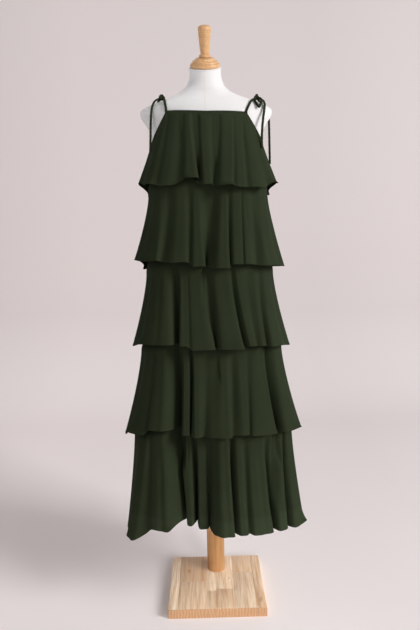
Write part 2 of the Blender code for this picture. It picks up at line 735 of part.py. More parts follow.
def add_form():
    """The smooth limbless body, closed at the neck and under the hips."""
    turns = np.arange(0.0, 360.0, FORM_STEP)
    count = len(turns)
    points = [tuple(section_point(section, turn)) for section in FORM for turn in turns]
    faces = []
    for row in range(len(FORM) - 1):
        for column in range(count):
            beside = (column + 1) % count
            a, b = row * count + column, row * count + beside
            faces += [(a, b, b + count), (a, b + count, a + count)]
    faces.append(tuple(reversed(range(count))))
    faces.append(tuple(range((len(FORM) - 1) * count, len(FORM) * count)))
    return add_object("dress_form", mesh_from("dress_form", points, faces), "form")


def turned(name, profile, slot, steps):
    """A body turned on a lathe from a profile of radii and heights."""
    shape = bmesh.new()
    corners = [shape.verts.new((radius, 0.0, height)) for radius, height in profile]
    edges = [shape.edges.new(pair) for pair in zip(corners[:-1], corners[1:])]
    bmesh.ops.spin(shape, geom=corners + edges, cent=(0, 0, 0), axis=(0, 0, 1),
                   angle=math.tau, steps=steps, use_merge=True, use_duplicate=False)
    bmesh.ops.remove_doubles(shape, verts=shape.verts, dist=1e-5)
    bmesh.ops.recalc_face_normals(shape, faces=shape.faces)
    mesh = bpy.data.meshes.new(name)
    shape.to_mesh(mesh)
    shape.free()
    return add_object(name, mesh, slot)


def add_neck():
    """Cap, collar and handle, turned on the neck's tilted axis."""
    axis = bpy.data.objects.new("neck_axis", None)
    bpy.context.scene.collection.objects.link(axis)
    axis.location = (0.0, NECK_OFFSET, NECK_HEIGHT)
    axis.rotation_euler = (math.radians(NECK_TILT), 0.0, 0.0)
    for name, profile, steps in (("neck_cap", CAP_PROFILE, 32), ("neck_collar", COLLAR_PROFILE, 24),
                                 ("neck_handle", HANDLE_PROFILE, 24)):
        item = turned(name, profile, "wood", steps)
        item.parent = axis


def add_stand():
    """The pole under the form and the board that it stands on."""
    low, high = BOARD_THICK + GAP, FORM_BOTTOM
    pole = turned("pole", [(0.0, high), (POLE_RADIUS, high), (POLE_RADIUS, low), (0.0, low)], "wood", 32)
    pole.location = (0.0, POLE_BACK, 0.0)
    shape = bmesh.new()
    bmesh.ops.create_cube(shape, size=1.0)
    bmesh.ops.scale(shape, vec=(BOARD_SIDE, BOARD_SIDE, BOARD_THICK), verts=shape.verts)
    bmesh.ops.translate(shape, vec=(0.0, 0.0, 0.5 * BOARD_THICK), verts=shape.verts)
    rounded = [edge for edge in shape.edges if any(corner.co.z > 0.5 * BOARD_THICK for corner in edge.verts)]
    bmesh.ops.bevel(shape, geom=rounded, offset=BOARD_ROUND, segments=2, profile=0.5, affect='EDGES')
    mesh = bpy.data.meshes.new("base_board")
    shape.to_mesh(mesh)
    shape.free()
    add_object("base_board", mesh, "board")


def over_shoulder(form_tree, corner, knot, count):
    """Points from a neck corner up to a knot, a tie's radius off the form's surface."""
    lift = TIE_RADIUS + TIE_LIFT
    start = math.atan2(corner[2] - SHOULDER_MIDDLE, abs(corner[1]))
    points = [Vector(corner)]
    for index in range(1, count):
        share = index / count
        beside = knot[0] - math.copysign(STRAP_BESIDE, knot[0])
        middle = Vector((lerp(corner[0], beside, share), 0.0, SHOULDER_MIDDLE))
        angle = lerp(start, math.radians(STRAP_TOP_ANGLE), share)
        outward = Vector((0.0, math.copysign(math.cos(angle), corner[1]), math.sin(angle)))
        hit = form_tree.ray_cast(middle + outward * FAR_OUTSIDE, -outward)
        points.append(hit[0] + outward * lift)
    return points


def tube_mesh(name, points, radius, sides):
    """A closed round tube along points, its sides carried on from ring to ring."""
    points = [Vector(point) for point in points]
    across = Vector((0.0, 0.0, 1.0)).cross(points[1] - points[0]).normalized()
    corners = []
    for index, point in enumerate(points):
        along = points[min(index + 1, len(points) - 1)] - points[max(index - 1, 0)]
        along.normalize()
        across = (across - along * across.dot(along)).normalized()
        beside = along.cross(across)
        for side in range(sides):
            angle = math.tau * side / sides
            corners.append(point + (across * math.cos(angle) + beside * math.sin(angle)) * radius)
    faces = []
    for index in range(len(points) - 1):
        for side in range(sides):
            following = (side + 1) % sides
            a, b = index * sides + side, index * sides + following
            faces.append((a, b, b + sides, a + sides))
    faces.append(tuple(range(sides)))
    faces.append(tuple(range(len(corners) - sides, len(corners))))
    return mesh_from(name, corners, faces)


def loop_sides(knot, loop, count):
    """The middle lines of a bow's loop: its two sides, each from the knot to the loop's tip."""
    direction = Vector(loop.direction).normalized()
    beside = direction.cross(Vector((0.0, 0.0, 1.0))).normalized()
    if loop.upright:
        beside = beside.cross(direction)
    sides = []
    for sign, width in ((-1.0, loop.half_width), (1.0, SECOND_SIDE * loop.half_width)):
        points = []
        for index in range(count):
            out = LOOP_CROSSING * index / (count - 1)
            spread = sign * (0.5 * TIE_RADIUS + LOOP_BULGE * width * out) * (1.0 - out)
            sag = Vector((0.0, 0.0, -loop.sag * out ** 2))
            points.append(Vector(knot) + direction * (loop.length * out) + beside * spread + sag)
        sides.append(points)
    return sides


def join_with(item, other):
    """Unite another closed mesh with an object, and leave the other out of the model."""
    other.hide_render = True
    other.display_type = 'WIRE'
    united = item.modifiers.new("join", 'BOOLEAN')
    united.operation = 'UNION'
    united.object = other


def route_from(points, length):
    """The rest of a route from a length along it."""
    reached = 0.0
    for index in range(1, len(points)):
        step = points[index] - points[index - 1]
        if reached + step.length >= length:
            return [points[index - 1] + step * ((length - reached) / step.length)] + points[index:]
        reached += step.length
    return points[-1:]


def add_bow(bow, stubs):
    """A knot with its two loops and the starts of its four ties in one piece."""
    name = f"bow_{bow.side}"
    shape = bmesh.new()
    bmesh.ops.create_icosphere(shape, subdivisions=2, radius=KNOT_RADIUS)
    mesh = bpy.data.meshes.new(name)
    shape.to_mesh(mesh)
    shape.free()
    knot = add_object(name, mesh, "chiffon")
    knot.location = bow.knot
    sides = loop_sides(bow.knot, bow.front_loop, 7) + loop_sides(bow.knot, bow.back_loop, 5)
    for index, points in enumerate(sides + stubs):
        tube = tube_mesh(f"{name}_guide_{index}", points, TIE_RADIUS, 8)
        join_with(knot, add_object(f"{name}_guide_{index}", tube, "chiffon"))


def add_ties(form):
    """Straps from the neck corners over the shoulders to the knots, and the ties' free ends."""
    tree = BVHTree.FromPolygons([tuple(vertex.co) for vertex in form.data.vertices],
                                [tuple(polygon.vertices) for polygon in form.data.polygons])
    for bow in BOWS:
        outward = math.copysign(1.0, bow.knot[0])
        stubs = []
        for end, turn in (("front", CORNER_TURN), ("back", 180.0 - CORNER_TURN)):
            edge = neck_edge(outward * turn)
            corner = section_point(blend_rows(LINING, edge), turn, -STRAP_OUT)
            start = (outward * corner[0], corner[1], edge + STRAP_RISE)
            climb = over_shoulder(tree, start, bow.knot, 7)
            climb = smooth_route([bow.knot] + climb[::-1], ROUTE_SPACING)
            tail = smooth_route([bow.knot] + TAILS[(bow.side, end)], ROUTE_SPACING)
            for kind, route in (("strap", climb), ("tail", tail)):
                cord = smooth_route(route_from(route, STUB_LENGTH), TIE_SPACING)
                leaving = (cord[1] - cord[0]).normalized()
                meeting = cord[0] - leaving * 2.0 * GAP
                stubs.append([Vector(bow.knot), meeting - leaving * TIE_RADIUS, meeting])
                add_cord(f"{kind}_{bow.side}_{end}", cord)
        add_bow(bow, stubs)


def smooth_route(points, spacing):
    """Evenly spaced points on a smooth open curve through the given ones."""
    given = [Vector(point) for point in points]
    padded = [given[0] * 2 - given[1]] + given + [given[-1] * 2 - given[-2]]
    dense = []
    for index in range(1, len(padded) - 2):
        before, first, second, after = padded[index - 1:index + 3]
        for step in range(20):
            share = step / 20.0
            square, cube = share ** 2, share ** 3
            slope_in = 0.5 * (second - before)
            slope_out = 0.5 * (after - first)
            dense.append((2 * cube - 3 * square + 1) * first + (cube - 2 * square + share) * slope_in
                         + (3 * square - 2 * cube) * second + (cube - square) * slope_out)
    dense.append(given[-1])
    lengths = [0.0]
    for a, b in zip(dense[:-1], dense[1:]):
        lengths.append(lengths[-1] + (b - a).length)
    count = max(int(round(lengths[-1] / spacing)), 2) + 1
    wanted = np.linspace(0.0, lengths[-1], count)
    axes = [np.interp(wanted, lengths, [point[axis] for point in dense]) for axis in range(3)]
    return [Vector(values) for values in zip(*axes)]


def add_cord(name, route):
    """A round tie along a route's points, with filled ends."""
    curve = bpy.data.curves.new(name, 'CURVE')
    curve.dimensions = '3D'
    curve.bevel_depth = TIE_RADIUS
    curve.bevel_resolution = 2
    curve.render_resolution_u = 0
    curve.use_fill_caps = True
    path = curve.splines.new('POLY')
    path.points.add(len(route) - 1)
    for place, point in zip(path.points, route):
        place.co = (*point, 1.0)
    curve.materials.append(material("chiffon"))
    bpy.context.scene.collection.objects.link(bpy.data.objects.new(name, curve))


def main():
    remove_everything()
    add_stand()
    form = add_form()
    add_neck()
    add_lining()
    add_tiers()
    add_bindings()
    add_ties(form)


main()
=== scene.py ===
"""Looks of the tiered chiffon dress on its dress form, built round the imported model.

Metres, +Z up, -Y to the front. A turn is an angle round the dress in degrees: 0 is the middle of the
front, 90 is the viewer's right side and 180 is the middle of the back.
"""
import math
from collections import namedtuple

import bmesh
import bpy
import numpy as np
from mathutils import Matrix, Vector
from mathutils.bvhtree import BVHTree

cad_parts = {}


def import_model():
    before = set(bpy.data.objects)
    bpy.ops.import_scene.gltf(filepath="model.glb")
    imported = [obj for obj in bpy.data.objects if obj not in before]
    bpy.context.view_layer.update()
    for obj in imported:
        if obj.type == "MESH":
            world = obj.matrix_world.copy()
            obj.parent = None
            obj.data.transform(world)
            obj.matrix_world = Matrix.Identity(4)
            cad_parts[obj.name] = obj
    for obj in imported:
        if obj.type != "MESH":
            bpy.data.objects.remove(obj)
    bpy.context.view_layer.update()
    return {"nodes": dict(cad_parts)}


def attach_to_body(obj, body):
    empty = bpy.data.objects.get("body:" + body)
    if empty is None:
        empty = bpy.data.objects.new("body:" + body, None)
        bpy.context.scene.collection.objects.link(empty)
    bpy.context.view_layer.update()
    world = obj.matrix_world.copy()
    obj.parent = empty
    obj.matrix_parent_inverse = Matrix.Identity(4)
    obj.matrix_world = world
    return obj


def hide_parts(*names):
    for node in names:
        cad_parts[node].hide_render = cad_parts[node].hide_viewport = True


# The camera, fitted to the board, the pole and the neck
IMAGE_HEIGHT = 630
FOCAL_PIXELS = 569.6
SENSOR = 36.0
CAMERA_PLACE = (-0.0159, -1.7525, 1.1003)
CAMERA_PITCH = 0.1131
CAMERA_ROLL = 0.0229
CAMERA_YAW = -0.008

# Form and stand
BOARD_SIDE = 0.300
BOARD_THICK = 0.028
BOARD_ROUND = 0.003
STAVE_ROUND = 0.0003
POLE_RADIUS = 0.0290
POLE_BACK = 0.075
FORM_BOTTOM = 0.880
COVER_ROOM = 0.0016
NECK_TILT = 25.0
NECK_HEIGHT = 1.630
NECK_OFFSET = -0.020
RIM_REACH = 0.0458
RIM_ROUND = 0.0018
RIM_LOW = -0.0024

# The dress
GAP = 0.0003
CHIFFON = 0.0006
LINING_CLOTH = 0.0006
LINING_INSET = 0.0012
LINING_WAVE = 0.0022
LINING_WAVES = 11.0
WALL = 0.0012
SEAT = 0.0004
FRONT_NECK = 1.491
BACK_NECK = 1.476
UNDERARM = 1.420
LEFT_RISE = 0.008
CORNER_TURN = 45.0
BINDING_DEEP = 0.006
CAUGHT_SHARE = 0.4
SLOPE_RUN = 0.012
STEEPEST = 1.5
LINING_ROOM = 0.004
NEXT_TIER_ROOM = 0.012
NESTING_GAP = 0.0035
RELEASE = 0.090
TIER_POWER = 2.8
FOLD_GROWTH = 0.8
FIRST_GROWTH = 0.55
FLARE = 1.35
FOLD_ROUNDING = 0.10
TUCK_GROWTH = 2.0
GATHER = 0.0085
GATHER_TURN = -4.0
GATHER_WIDE = 17.0
GATHER_BESIDE = 0.15
CURL_REACH = 0.11
HEM_ROLL = 0.0034
HEM_THICK = 0.0014

# The ties
TIE_RADIUS = 0.0030
TIE_WIDE = 0.0076
TIE_DEEP = 0.0056
TIE_SIDES = 12
TIE_CRINKLE = 0.05
KNOT_SIZE = 0.0072
TIE_LIFT = 0.0014
ROUTE_SPACING = 0.004
LOOP_SPACING = 0.0025
TAIL_SPACING = 0.0035
STUB_LENGTH = 0.016
STRAP_OUT = 0.0006
STRAP_RISE = 0.0018
STRAP_CAUGHT = 0.006
STRAP_BESIDE = 0.003
STRAP_TOP_ANGLE = 84.0
SHOULDER_MIDDLE = 1.465
FAR_OUTSIDE = 0.3

# Where the materials change, in metres, and how sharply, in shares a metre: the painted light
# through the cloth below its lining, the seam of the form's cover, the turned neck and the board's end
# grain
THROUGH_LIGHT_EDGE = 90.0
THROUGH_LIGHT_SHARE = 0.10
SEAM_PLACE = -0.003
SEAM_HALF = 0.0016
SEAM_EDGE = 1400.0
NECK_WOOD_LOW = 1.6
END_GRAIN_DEEP = 0.0022
END_GRAIN_EDGE = 900.0

# The studio: a floor, a rounded bend and a wall
STAGE_FRONT = -4.0
STAGE_BEND = 1.8
BEND_RADIUS = 1.0
STAGE_HIGH = 6.0
STAGE_HALF = 6.0
SIDEWAYS_PAINTED_SHADE = 0.55
WALL_SHADE = 1.6
WORLD_COLOUR = (230, 229, 230)
WORLD_STRENGTH = 0.47

# How finely things are sampled, and where turned and sawn edges count as sharp, in degrees
FOLD_SAMPLES = 36
TIER_ROWS = 46
DIRECTIONS = 720
TABLE_STEP = 0.010
FORM_SIDES = 240
FORM_FINE = 1.48
LATHE_SIDES = 96
TURNED_SHARP = 48.0
SAWN_SHARP = 40.0

# Small creases scattered over the back of every tier: seed, first and last turn, count and height
SCATTER = (11, 80.0, 280.0, 22, 1.6)

Section = namedtuple("Section", "height half_width front back power centre tilt", defaults=(0.0, 0.0))
Ring = namedtuple("Ring", "half_width front back")
Fold = namedtuple("Fold", "top_left top_right hem_left hem_right setback trough tuck drop")
Tier = namedtuple("Tier", "name seam under hem back_drop upper lower")
Crease = namedtuple("Crease", "top hem width height start end", defaults=(1.2,))
Bow = namedtuple("Bow", "side knot front_loop back_loop")
Loop = namedtuple("Loop", "direction length half_width sag upright")
Light = namedtuple("Light", "name place size power aim colour spread")

# The form's body from its underside to its neck, in metres, with the neck's tilt in degrees
FORM = [
    Section(0.8803, 0.138, 0.090, 0.107, 2.4),
    Section(0.892, 0.151, 0.098, 0.112, 2.4),
    Section(0.950, 0.160, 0.104, 0.114, 2.4),
    Section(1.060, 0.152, 0.100, 0.108, 2.4),
    Section(1.170, 0.130, 0.090, 0.092, 2.4),
    Section(1.240, 0.126, 0.090, 0.088, 2.4),
    Section(1.300, 0.141, 0.101, 0.092, 2.4),
    Section(1.360, 0.1583, 0.1113, 0.0983, 2.4),
    Section(1.420, 0.158, 0.100, 0.094, 2.1),
    Section(1.445, 0.166, 0.095, 0.087, 1.9),
    Section(1.470, 0.178, 0.091, 0.082, 1.9),
    Section(1.500, 0.195, 0.083, 0.079, 1.8),
    Section(1.514, 0.193, 0.076, 0.076, 1.8),
    Section(1.528, 0.168, 0.066, 0.070, 1.9),
    Section(1.541, 0.131, 0.057, 0.066, 2.0),
    Section(1.556, 0.092, 0.053, 0.062, 2.0, -0.002, 3.0),
    Section(1.574, 0.063, 0.051, 0.055, 2.0, -0.006, 10.0),
    Section(1.598, 0.049, 0.047, 0.047, 2.0, -0.012, 19.0),
    Section(1.630, 0.0455, 0.0455, 0.0455, 2.0, -0.020, 25.0),
]

# The lining from the neck edge to its hem
LINING = [
    Section(1.491, 0.152, 0.093, 0.089, 2.4),
    Section(1.420, 0.162, 0.104, 0.099, 2.4),
    Section(1.360, 0.160, 0.113, 0.100, 2.4),
    Section(1.345, 0.159, 0.113, 0.100, 2.4),
    Section(1.120, 0.165, 0.112, 0.114, 2.4),
    Section(0.885, 0.176, 0.115, 0.121, 2.4),
    Section(0.640, 0.190, 0.118, 0.128, 2.4),
    Section(0.345, 0.208, 0.124, 0.138, 2.4),
]
LINING_HEM = 0.345

# Folds run from the left side seam round the front to the right one and back behind.
# Columns are those of Fold: turns in degrees, the other ones in millimetres.
FRONT_FOLDS = {
    "tier_1": [
        (-98, -82, -100, -78, 0, 8, 3, -24), (-52, -44, -56, -45, 0, 5, 0, -9),
        (-36, -27, -34, -23, 0, 11, 0, 0), (-17, -13, -11, -3, 0, 26, 3, -14),
        (-4, 0.5, -1.5, 1, 2, 15, 1, 2), (12, 22, 4, 11, 0, 6, 0, 8),
        (28, 34, 16, 22, 0, 8, 0, 10), (40, 46, 31, 46, 0, 6, 0, 8),
        (60, 68, 60, 70, 0, 8, 0, -10),
    ],
    "tier_2": [
        (-99, -80, -100, -76, 0, 9, 2, -24), (-54, -46, -50, -34, 0, 16, 6, -16),
        (-24, -17, -22, -11, 4, 11, 0, -9), (-8, -5, -6.5, -1, 0, 30, 2, 4),
        (7.5, 11, 1.5, 8, 0, 15, 0, 10), (18, 25, 10.5, 17, 2, 5, 0, 0),
        (30, 37, 19, 24, 0, 15, -1, 0), (56, 68, 36.5, 52, 0, 9, 0, 4),
    ],
    "tier_3": [
        (-99, -78, -98, -74, 0, 9, 0, 2), (-58, -39, -53, -22, 0, 46, 4, -9),
        (-22, -17, -16, -11.5, 4, 4, 0, -5), (-12, -5, -7, 0.5, 0, 28, 1, 6),
        (0.5, 7.5, 3, 15, 0, 22, 0, 6), (13.5, 18, 20, 24.5, 6, 7, 0, 0),
        (35.5, 39.5, 29.5, 34, 2, 18, -1, 0), (52, 60, 40, 54.5, 0, 10, 0, 4),
    ],
    "tier_4": [
        (-98, -76, -98, -76, -4, 9, 0, 24), (-60, -53, -61, -44, -4, 9, 0, 5),
        (-45.5, -34.5, -38, -23, 0, 60, 4, -12), (-18, -13, -14.5, -9.5, 12, 34, 4, 2),
        (-9, -5.5, -7, -4, 2, 16, 1, 6), (3.5, 6, 0.5, 5.5, 0, 13, 1, 7),
        (14.5, 19, 10, 15, 6, 8, 0, 4), (29.5, 39, 18, 38, 0, 38, -3, 6),
        (58, 72, 43, 62, -6, 10, 0, 5),
    ],
    "tier_5": [
        (-97, -78, -98, -76, -6, 10, 0, 38), (-56, -46, -59, -47, -24, 14, 0, 22),
        (-43, -30.5, -35, -18.5, -6, 84, 4, -13), (-24, -13.5, -15.5, -10, 40, 52, 3, -12),
        (-7, -4, -7.5, -2.5, 40, 40, 1, -2), (1, 4.5, 0.5, 6, -3, 42, 2, 2),
        (9, 11.5, 8.5, 13, 8, 14, 0, 5), (18, 28.5, 17.5, 32, 4, 48, -3, 6),
        (42, 54, 36, 45.5, 0, 32, -1, 5), (58, 72, 48.5, 64, -16, 12, 0, 3),
    ],
}
BACK_FOLDS = {
    "tier_1": [
        (82, 98, 80, 100, 0, 10, 0, -20), (112, 124, 112, 125, 0, 12, 0, 2),
        (136, 146, 136, 148, 0, 16, 2, 0), (158, 166, 158, 168, 0, 20, 0, 4),
        (180, 190, 178, 188, 0, 12, 0, 0), (203, 213, 201, 213, 0, 18, -2, 3),
        (226, 238, 227, 241, 0, 10, 0, 2),
    ],
    "tier_2": [
        (81, 99, 80, 100, 0, 12, 0, 4), (114, 126, 113, 127, 0, 16, 2, 3),
        (139, 149, 140, 152, 0, 24, 0, 0), (163, 173, 165, 176, 0, 14, 0, 3),
        (185, 195, 188, 199, 0, 26, 2, 0), (208, 220, 210, 224, 0, 14, 0, 3),
        (232, 244, 234, 247, 0, 12, 0, 2),
    ],
    "tier_3": [
        (81, 99, 80, 100, 0, 14, 0, 12), (112, 126, 112, 128, 0, 28, 2, 0),
        (140, 150, 142, 153, 0, 18, 0, 4), (160, 170, 162, 174, 0, 32, 2, 0),
        (182, 192, 184, 196, 0, 20, 0, 3), (204, 216, 206, 220, 0, 30, -2, 0),
        (230, 244, 231, 246, 0, 14, 0, 2),
    ],
    "tier_4": [
        (80, 98, 80, 100, -4, 16, 0, 18), (111, 125, 112, 128, 0, 32, 2, 0),
        (137, 147, 138, 150, 0, 22, 0, 5), (158, 168, 159, 171, 0, 42, 2, 0),
        (180, 190, 181, 193, 0, 20, 0, 4), (202, 212, 203, 216, 0, 38, -2, 0),
        (226, 242, 228, 246, 0, 18, 0, 4),
    ],
    "tier_5": [
        (80, 98, 80, 99, -6, 20, 0, 30), (110, 124, 111, 128, 0, 44, 2, 0),
        (137, 147, 138, 150, 0, 30, 0, 6), (157, 168, 158, 172, 0, 56, 2, 0),
        (180, 190, 182, 195, 0, 34, 0, 5), (202, 213, 205, 218, 0, 52, -2, 0),
        (226, 242, 230, 247, -4, 22, 0, 10),
    ],
}

# Each tier's seam on the lining, the height where it comes out from under the tier above, its hem,
# how much lower the hem is behind, and its rings at those last two heights
TIERS = [
    Tier("tier_1", None, None, 1.283, 0.016, None, Ring(0.206, 0.152, 0.142)),
    Tier("tier_2", 1.345, 1.262, 1.060, 0.018, Ring(0.178, 0.128, 0.126), Ring(0.226, 0.165, 0.160)),
    Tier("tier_3", 1.120, 1.030, 0.828, 0.012, Ring(0.192, 0.138, 0.140), Ring(0.240, 0.178, 0.178)),
    Tier("tier_4", 0.885, 0.800, 0.581, 0.012, Ring(0.214, 0.150, 0.154), Ring(0.268, 0.198, 0.200)),
    Tier("tier_5", 0.640, 0.545, 0.298, 0.010, Ring(0.242, 0.176, 0.180), Ring(0.270, 0.228, 0.232)),
]

# Handle, collar and domed cap, as radius and height above the neck along its tilt
HANDLE_PROFILE = [
    (0.0, 0.1120), (0.0080, 0.1115), (0.0150, 0.1095), (0.0183, 0.1050), (0.0186, 0.0990),
    (0.0176, 0.0850), (0.0158, 0.0660), (0.0138, 0.0480), (0.0124, 0.0370), (0.0122, 0.0350), (0.0, 0.0350),
]
COLLAR_PROFILE = [
    (0.0, 0.0347), (0.0148, 0.0347), (0.0170, 0.0335), (0.0175, 0.0310), (0.0170, 0.0285),
    (0.0150, 0.0273), (0.0, 0.0273),
]
CAP_PROFILE = [
    (0.0, 0.0270), (0.0210, 0.0270), (0.0270, 0.0250), (0.0292, 0.0215), (0.0300, 0.0195), (0.0352, 0.0185),
    (0.0378, 0.0160), (0.0385, 0.0125), (0.0415, 0.0115), (0.0434, 0.0085), (0.0438, 0.0045),
    (0.0425, 0.0012), (0.0400, 0.0003), (0.0, 0.0003),
]

# The knots on the shoulders, and the ties that leave them
BOWS = [
    Bow("left", (-0.1275, -0.010, 1.5490), Loop((-0.25, -0.75, 0.45), 0.026, 0.0050, 0.018, True),
        Loop((-0.10, 0.45, 0.90), 0.020, 0.0040, 0.010, True)),
    Bow("right", (0.1500, -0.010, 1.5450), Loop((0.05, -0.96, -0.20), 0.048, 0.0105, 0.028, False),
        Loop((0.15, 0.48, 0.86), 0.020, 0.0044, 0.010, True)),
]
TAILS = {
    ("left", "front"): [
        (-0.1460, -0.0240, 1.5400), (-0.1545, -0.0430, 1.5215), (-0.1585, -0.0530, 1.4975),
        (-0.1605, -0.0580, 1.4656), (-0.1618, -0.0620, 1.4315), (-0.1632, -0.0670, 1.3950),
        (-0.1636, -0.0680, 1.3860),
    ],
    ("left", "back"): [
        (-0.1410, 0.0100, 1.5450), (-0.1470, 0.0340, 1.5375), (-0.1510, 0.0570, 1.5120),
        (-0.1535, 0.0670, 1.4800), (-0.1550, 0.0710, 1.4450), (-0.1565, 0.0740, 1.4100),
        (-0.1580, 0.0765, 1.3850),
    ],
    ("right", "front"): [
        (0.1655, -0.0155, 1.5375), (0.1710, -0.0310, 1.5244), (0.1690, -0.0460, 1.5039),
        (0.1640, -0.0575, 1.4760), (0.1600, -0.0635, 1.4412), (0.1582, -0.0670, 1.4100),
        (0.1590, -0.0720, 1.3900),
    ],
    ("right", "back"): [
        (0.1600, 0.0040, 1.5380), (0.1690, 0.0130, 1.5315), (0.1785, 0.0215, 1.5235),
        (0.1865, 0.0275, 1.5080), (0.1905, 0.0320, 1.4880), (0.1918, 0.0360, 1.4600),
        (0.1924, 0.0380, 1.4200), (0.1930, 0.0390, 1.3600),
    ],
}

# Soft square lights: place, side in metres, power in watts, aim, colour and spread in degrees
LIGHTS = [
    Light("key", (4.3, -2.65, 3.0), 2.0, 280.0, (0.0, 0.0, 0.80), (1.0, 0.99, 0.98), 180.0),
    Light("upper", (-2.4, -2.2, 2.3), 0.5, 0.20, (-0.06, 0.0, 1.66), (1.0, 1.0, 1.0), 12.0),
    Light("low", (0.7, -2.3, 0.95), 0.5, 0.38, (0.0, 0.0, 0.0), (1.0, 0.99, 0.97), 18.0),
    Light("fill", (-2.2, -2.6, 1.9), 2.6, 9.0, (0.0, 0.0, 0.9), (0.97, 0.98, 1.0), 180.0),
]


# Small helpers
def lerp(first, second, share):
    return first + (second - first) * share


def smooth_step(low, high, value):
    share = np.clip((value - low) / (high - low), 0.0, 1.0)
    return share * share * (3.0 - 2.0 * share)


def object_from(name, points, faces, finish):
    mesh = bpy.data.meshes.new(name)
    mesh.from_pydata([tuple(point) for point in points], [], [tuple(face) for face in faces])
    mesh.materials.append(finish)
    mesh.shade_smooth()
    mesh.update()
    return linked(name, mesh)


def linked(name, data):
    item = bpy.data.objects.new(name, data)
    bpy.context.scene.collection.objects.link(item)
    return item


def cubic(first, second, leaving, arriving, share):
    """A value between two others on a smooth curve, with its slopes at both ends."""
    square, cube = share ** 2, share ** 3
    return ((2 * cube - 3 * square + 1) * first + (cube - 2 * square + share) * leaving
            + (3 * square - 2 * cube) * second + (cube - square) * arriving)


def full_turn(count):
    """Evenly spaced angles all the way round, in radians."""
    return np.linspace(0.0, math.tau, count, endpoint=False)


def bell(turn, middle, width):
    """1 at a middle, fading to nothing about two widths to each side of it."""
    away = (turn - middle + 180.0) % 360.0 - 180.0
    return np.exp(-(away / width) ** 2)


def grid_faces(rows, columns, start=0, flip=False):
    """Quads between the rows of a grid of points that goes all the way round, as corner numbers."""
    row, column = np.meshgrid(np.arange(rows - 1), np.arange(columns), indexing="ij")
    a = start + row * columns + column
    b = start + row * columns + (column + 1) % columns
    corners = [a, a + columns, b + columns, b]
    if flip:
        corners.reverse()
    return np.stack(corners, axis=-1).reshape(-1, 4)


def attach(item, slot, *nodes):
    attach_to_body(item, "root")
    if nodes:
        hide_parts(*nodes)
    return item


# Sections and rings
def blend_rows(sections, height):
    """The section at a height, between the two rows of the table that hold it."""
    ordered = sorted(sections)
    heights = [section.height for section in ordered]
    height = min(max(height, heights[0]), heights[-1])
    upper = min(max(int(np.searchsorted(heights, height)), 1), len(ordered) - 1)
    low, high = ordered[upper - 1], ordered[upper]
    share = (height - low.height) / (high.height - low.height)
    return Section(*[lerp(a, b, share) for a, b in zip(low, high)])


def smooth_rows(sections, height):
    """The section at a height on a smooth curve through the table's rows."""
    table = np.array(sorted(sections))
    heights = table[:, 0]
    slopes = np.gradient(table, heights, axis=0)
    high = int(np.clip(np.searchsorted(heights, height), 1, len(table) - 1))
    low = high - 1
    step = heights[high] - heights[low]
    share = np.clip((height - heights[low]) / step, 0.0, 1.0)
    return Section(*cubic(table[low], table[high], step * slopes[low], step * slopes[high], share))


def rounded_ring(turn, half_width, front, back, power):
    """Points of rounded-square rings at turns, as x and y on the last axis."""
    angle = np.radians(turn)
    sine, cosine = np.sin(angle), np.cos(angle)
    depth = np.where(cosine > 0, front, back)
    x = half_width * np.sign(sine) * np.abs(sine) ** (2.0 / power)
    y = -depth * np.sign(cosine) * np.abs(cosine) ** (2.0 / power)
    return np.stack([x, y], axis=-1)


def section_points(section, turns, inward=0.0):
    """Points of a body section, as x, y and z."""
    flat = rounded_ring(turns, section.half_width - inward, section.front - inward,
                        section.back - inward, section.power)
    tilt = math.radians(section.tilt)
    y = section.centre + flat[..., 1] * math.cos(tilt)
    return np.stack([flat[..., 0], y, section.height + flat[..., 1] * math.sin(tilt)], axis=-1)


def neck_edge(turn):
    """Height of the dress's bound top edge: straight at the neck, diagonal down to the underarm."""
    sine = np.sin(np.radians(turn))
    corner_sine = math.sin(math.radians(CORNER_TURN))
    across = np.abs(sine) ** (2.0 / LINING[0].power)
    corner = corner_sine ** (2.0 / LINING[0].power)
    pulled = np.clip(-sine / corner_sine, 0.0, 1.0)
    neck = np.where(np.cos(np.radians(turn)) > 0, FRONT_NECK + LEFT_RISE * pulled, BACK_NECK)
    return lerp(neck, UNDERARM, np.maximum(0.0, (across - corner) / (1.0 - corner)))


def binding_depth(turn):
    """How far the binding reaches down from the edge, more where the edge runs steeply."""
    steep = np.abs(neck_edge(turn + 2.0) - neck_edge(turn - 2.0)) / SLOPE_RUN
    return BINDING_DEEP * np.sqrt(1.0 + np.minimum(steep, STEEPEST) ** 2)


def cloth_top(turn):
    """Height where the cloth ends inside its binding."""
    return neck_edge(turn) - CAUGHT_SHARE * binding_depth(turn)


def direction_of(flat):
    return np.degrees(np.arctan2(flat[..., 0], -flat[..., 1]))


# Tables of how far a ring reaches from the axis in each direction, at evenly spaced heights
def reach_table(ring, pick, window=2.5, fine=6):
    """Least or greatest reach of a closed ring from the axis, for each half degree of direction."""
    following = np.roll(ring, -1, axis=0)
    shares = np.linspace(0, 1, fine, endpoint=False)
    dense = np.concatenate([lerp(ring, following, share) for share in shares])
    slots = np.round((direction_of(dense) % 360.0) * DIRECTIONS / 360.0).astype(int) % DIRECTIONS
    reaches = np.hypot(dense[:, 0], dense[:, 1])
    table = np.full(DIRECTIONS, np.inf if pick is np.minimum else -np.inf)
    pick.at(table, slots, reaches)
    known = np.flatnonzero(np.isfinite(table))
    table = np.interp(np.arange(DIRECTIONS), known, table[known], period=DIRECTIONS)
    half = int(window * DIRECTIONS / 360.0)
    return pick.reduce([np.roll(table, step) for step in range(-half, half + 1)])


def lining_tables(heights):
    turns = np.arange(0.0, 360.0, 1.0)
    rings = [section_points(blend_rows(LINING, height), turns)[:, :2] for height in heights]
    return np.array([reach_table(ring, np.maximum, 0.5) for ring in rings])


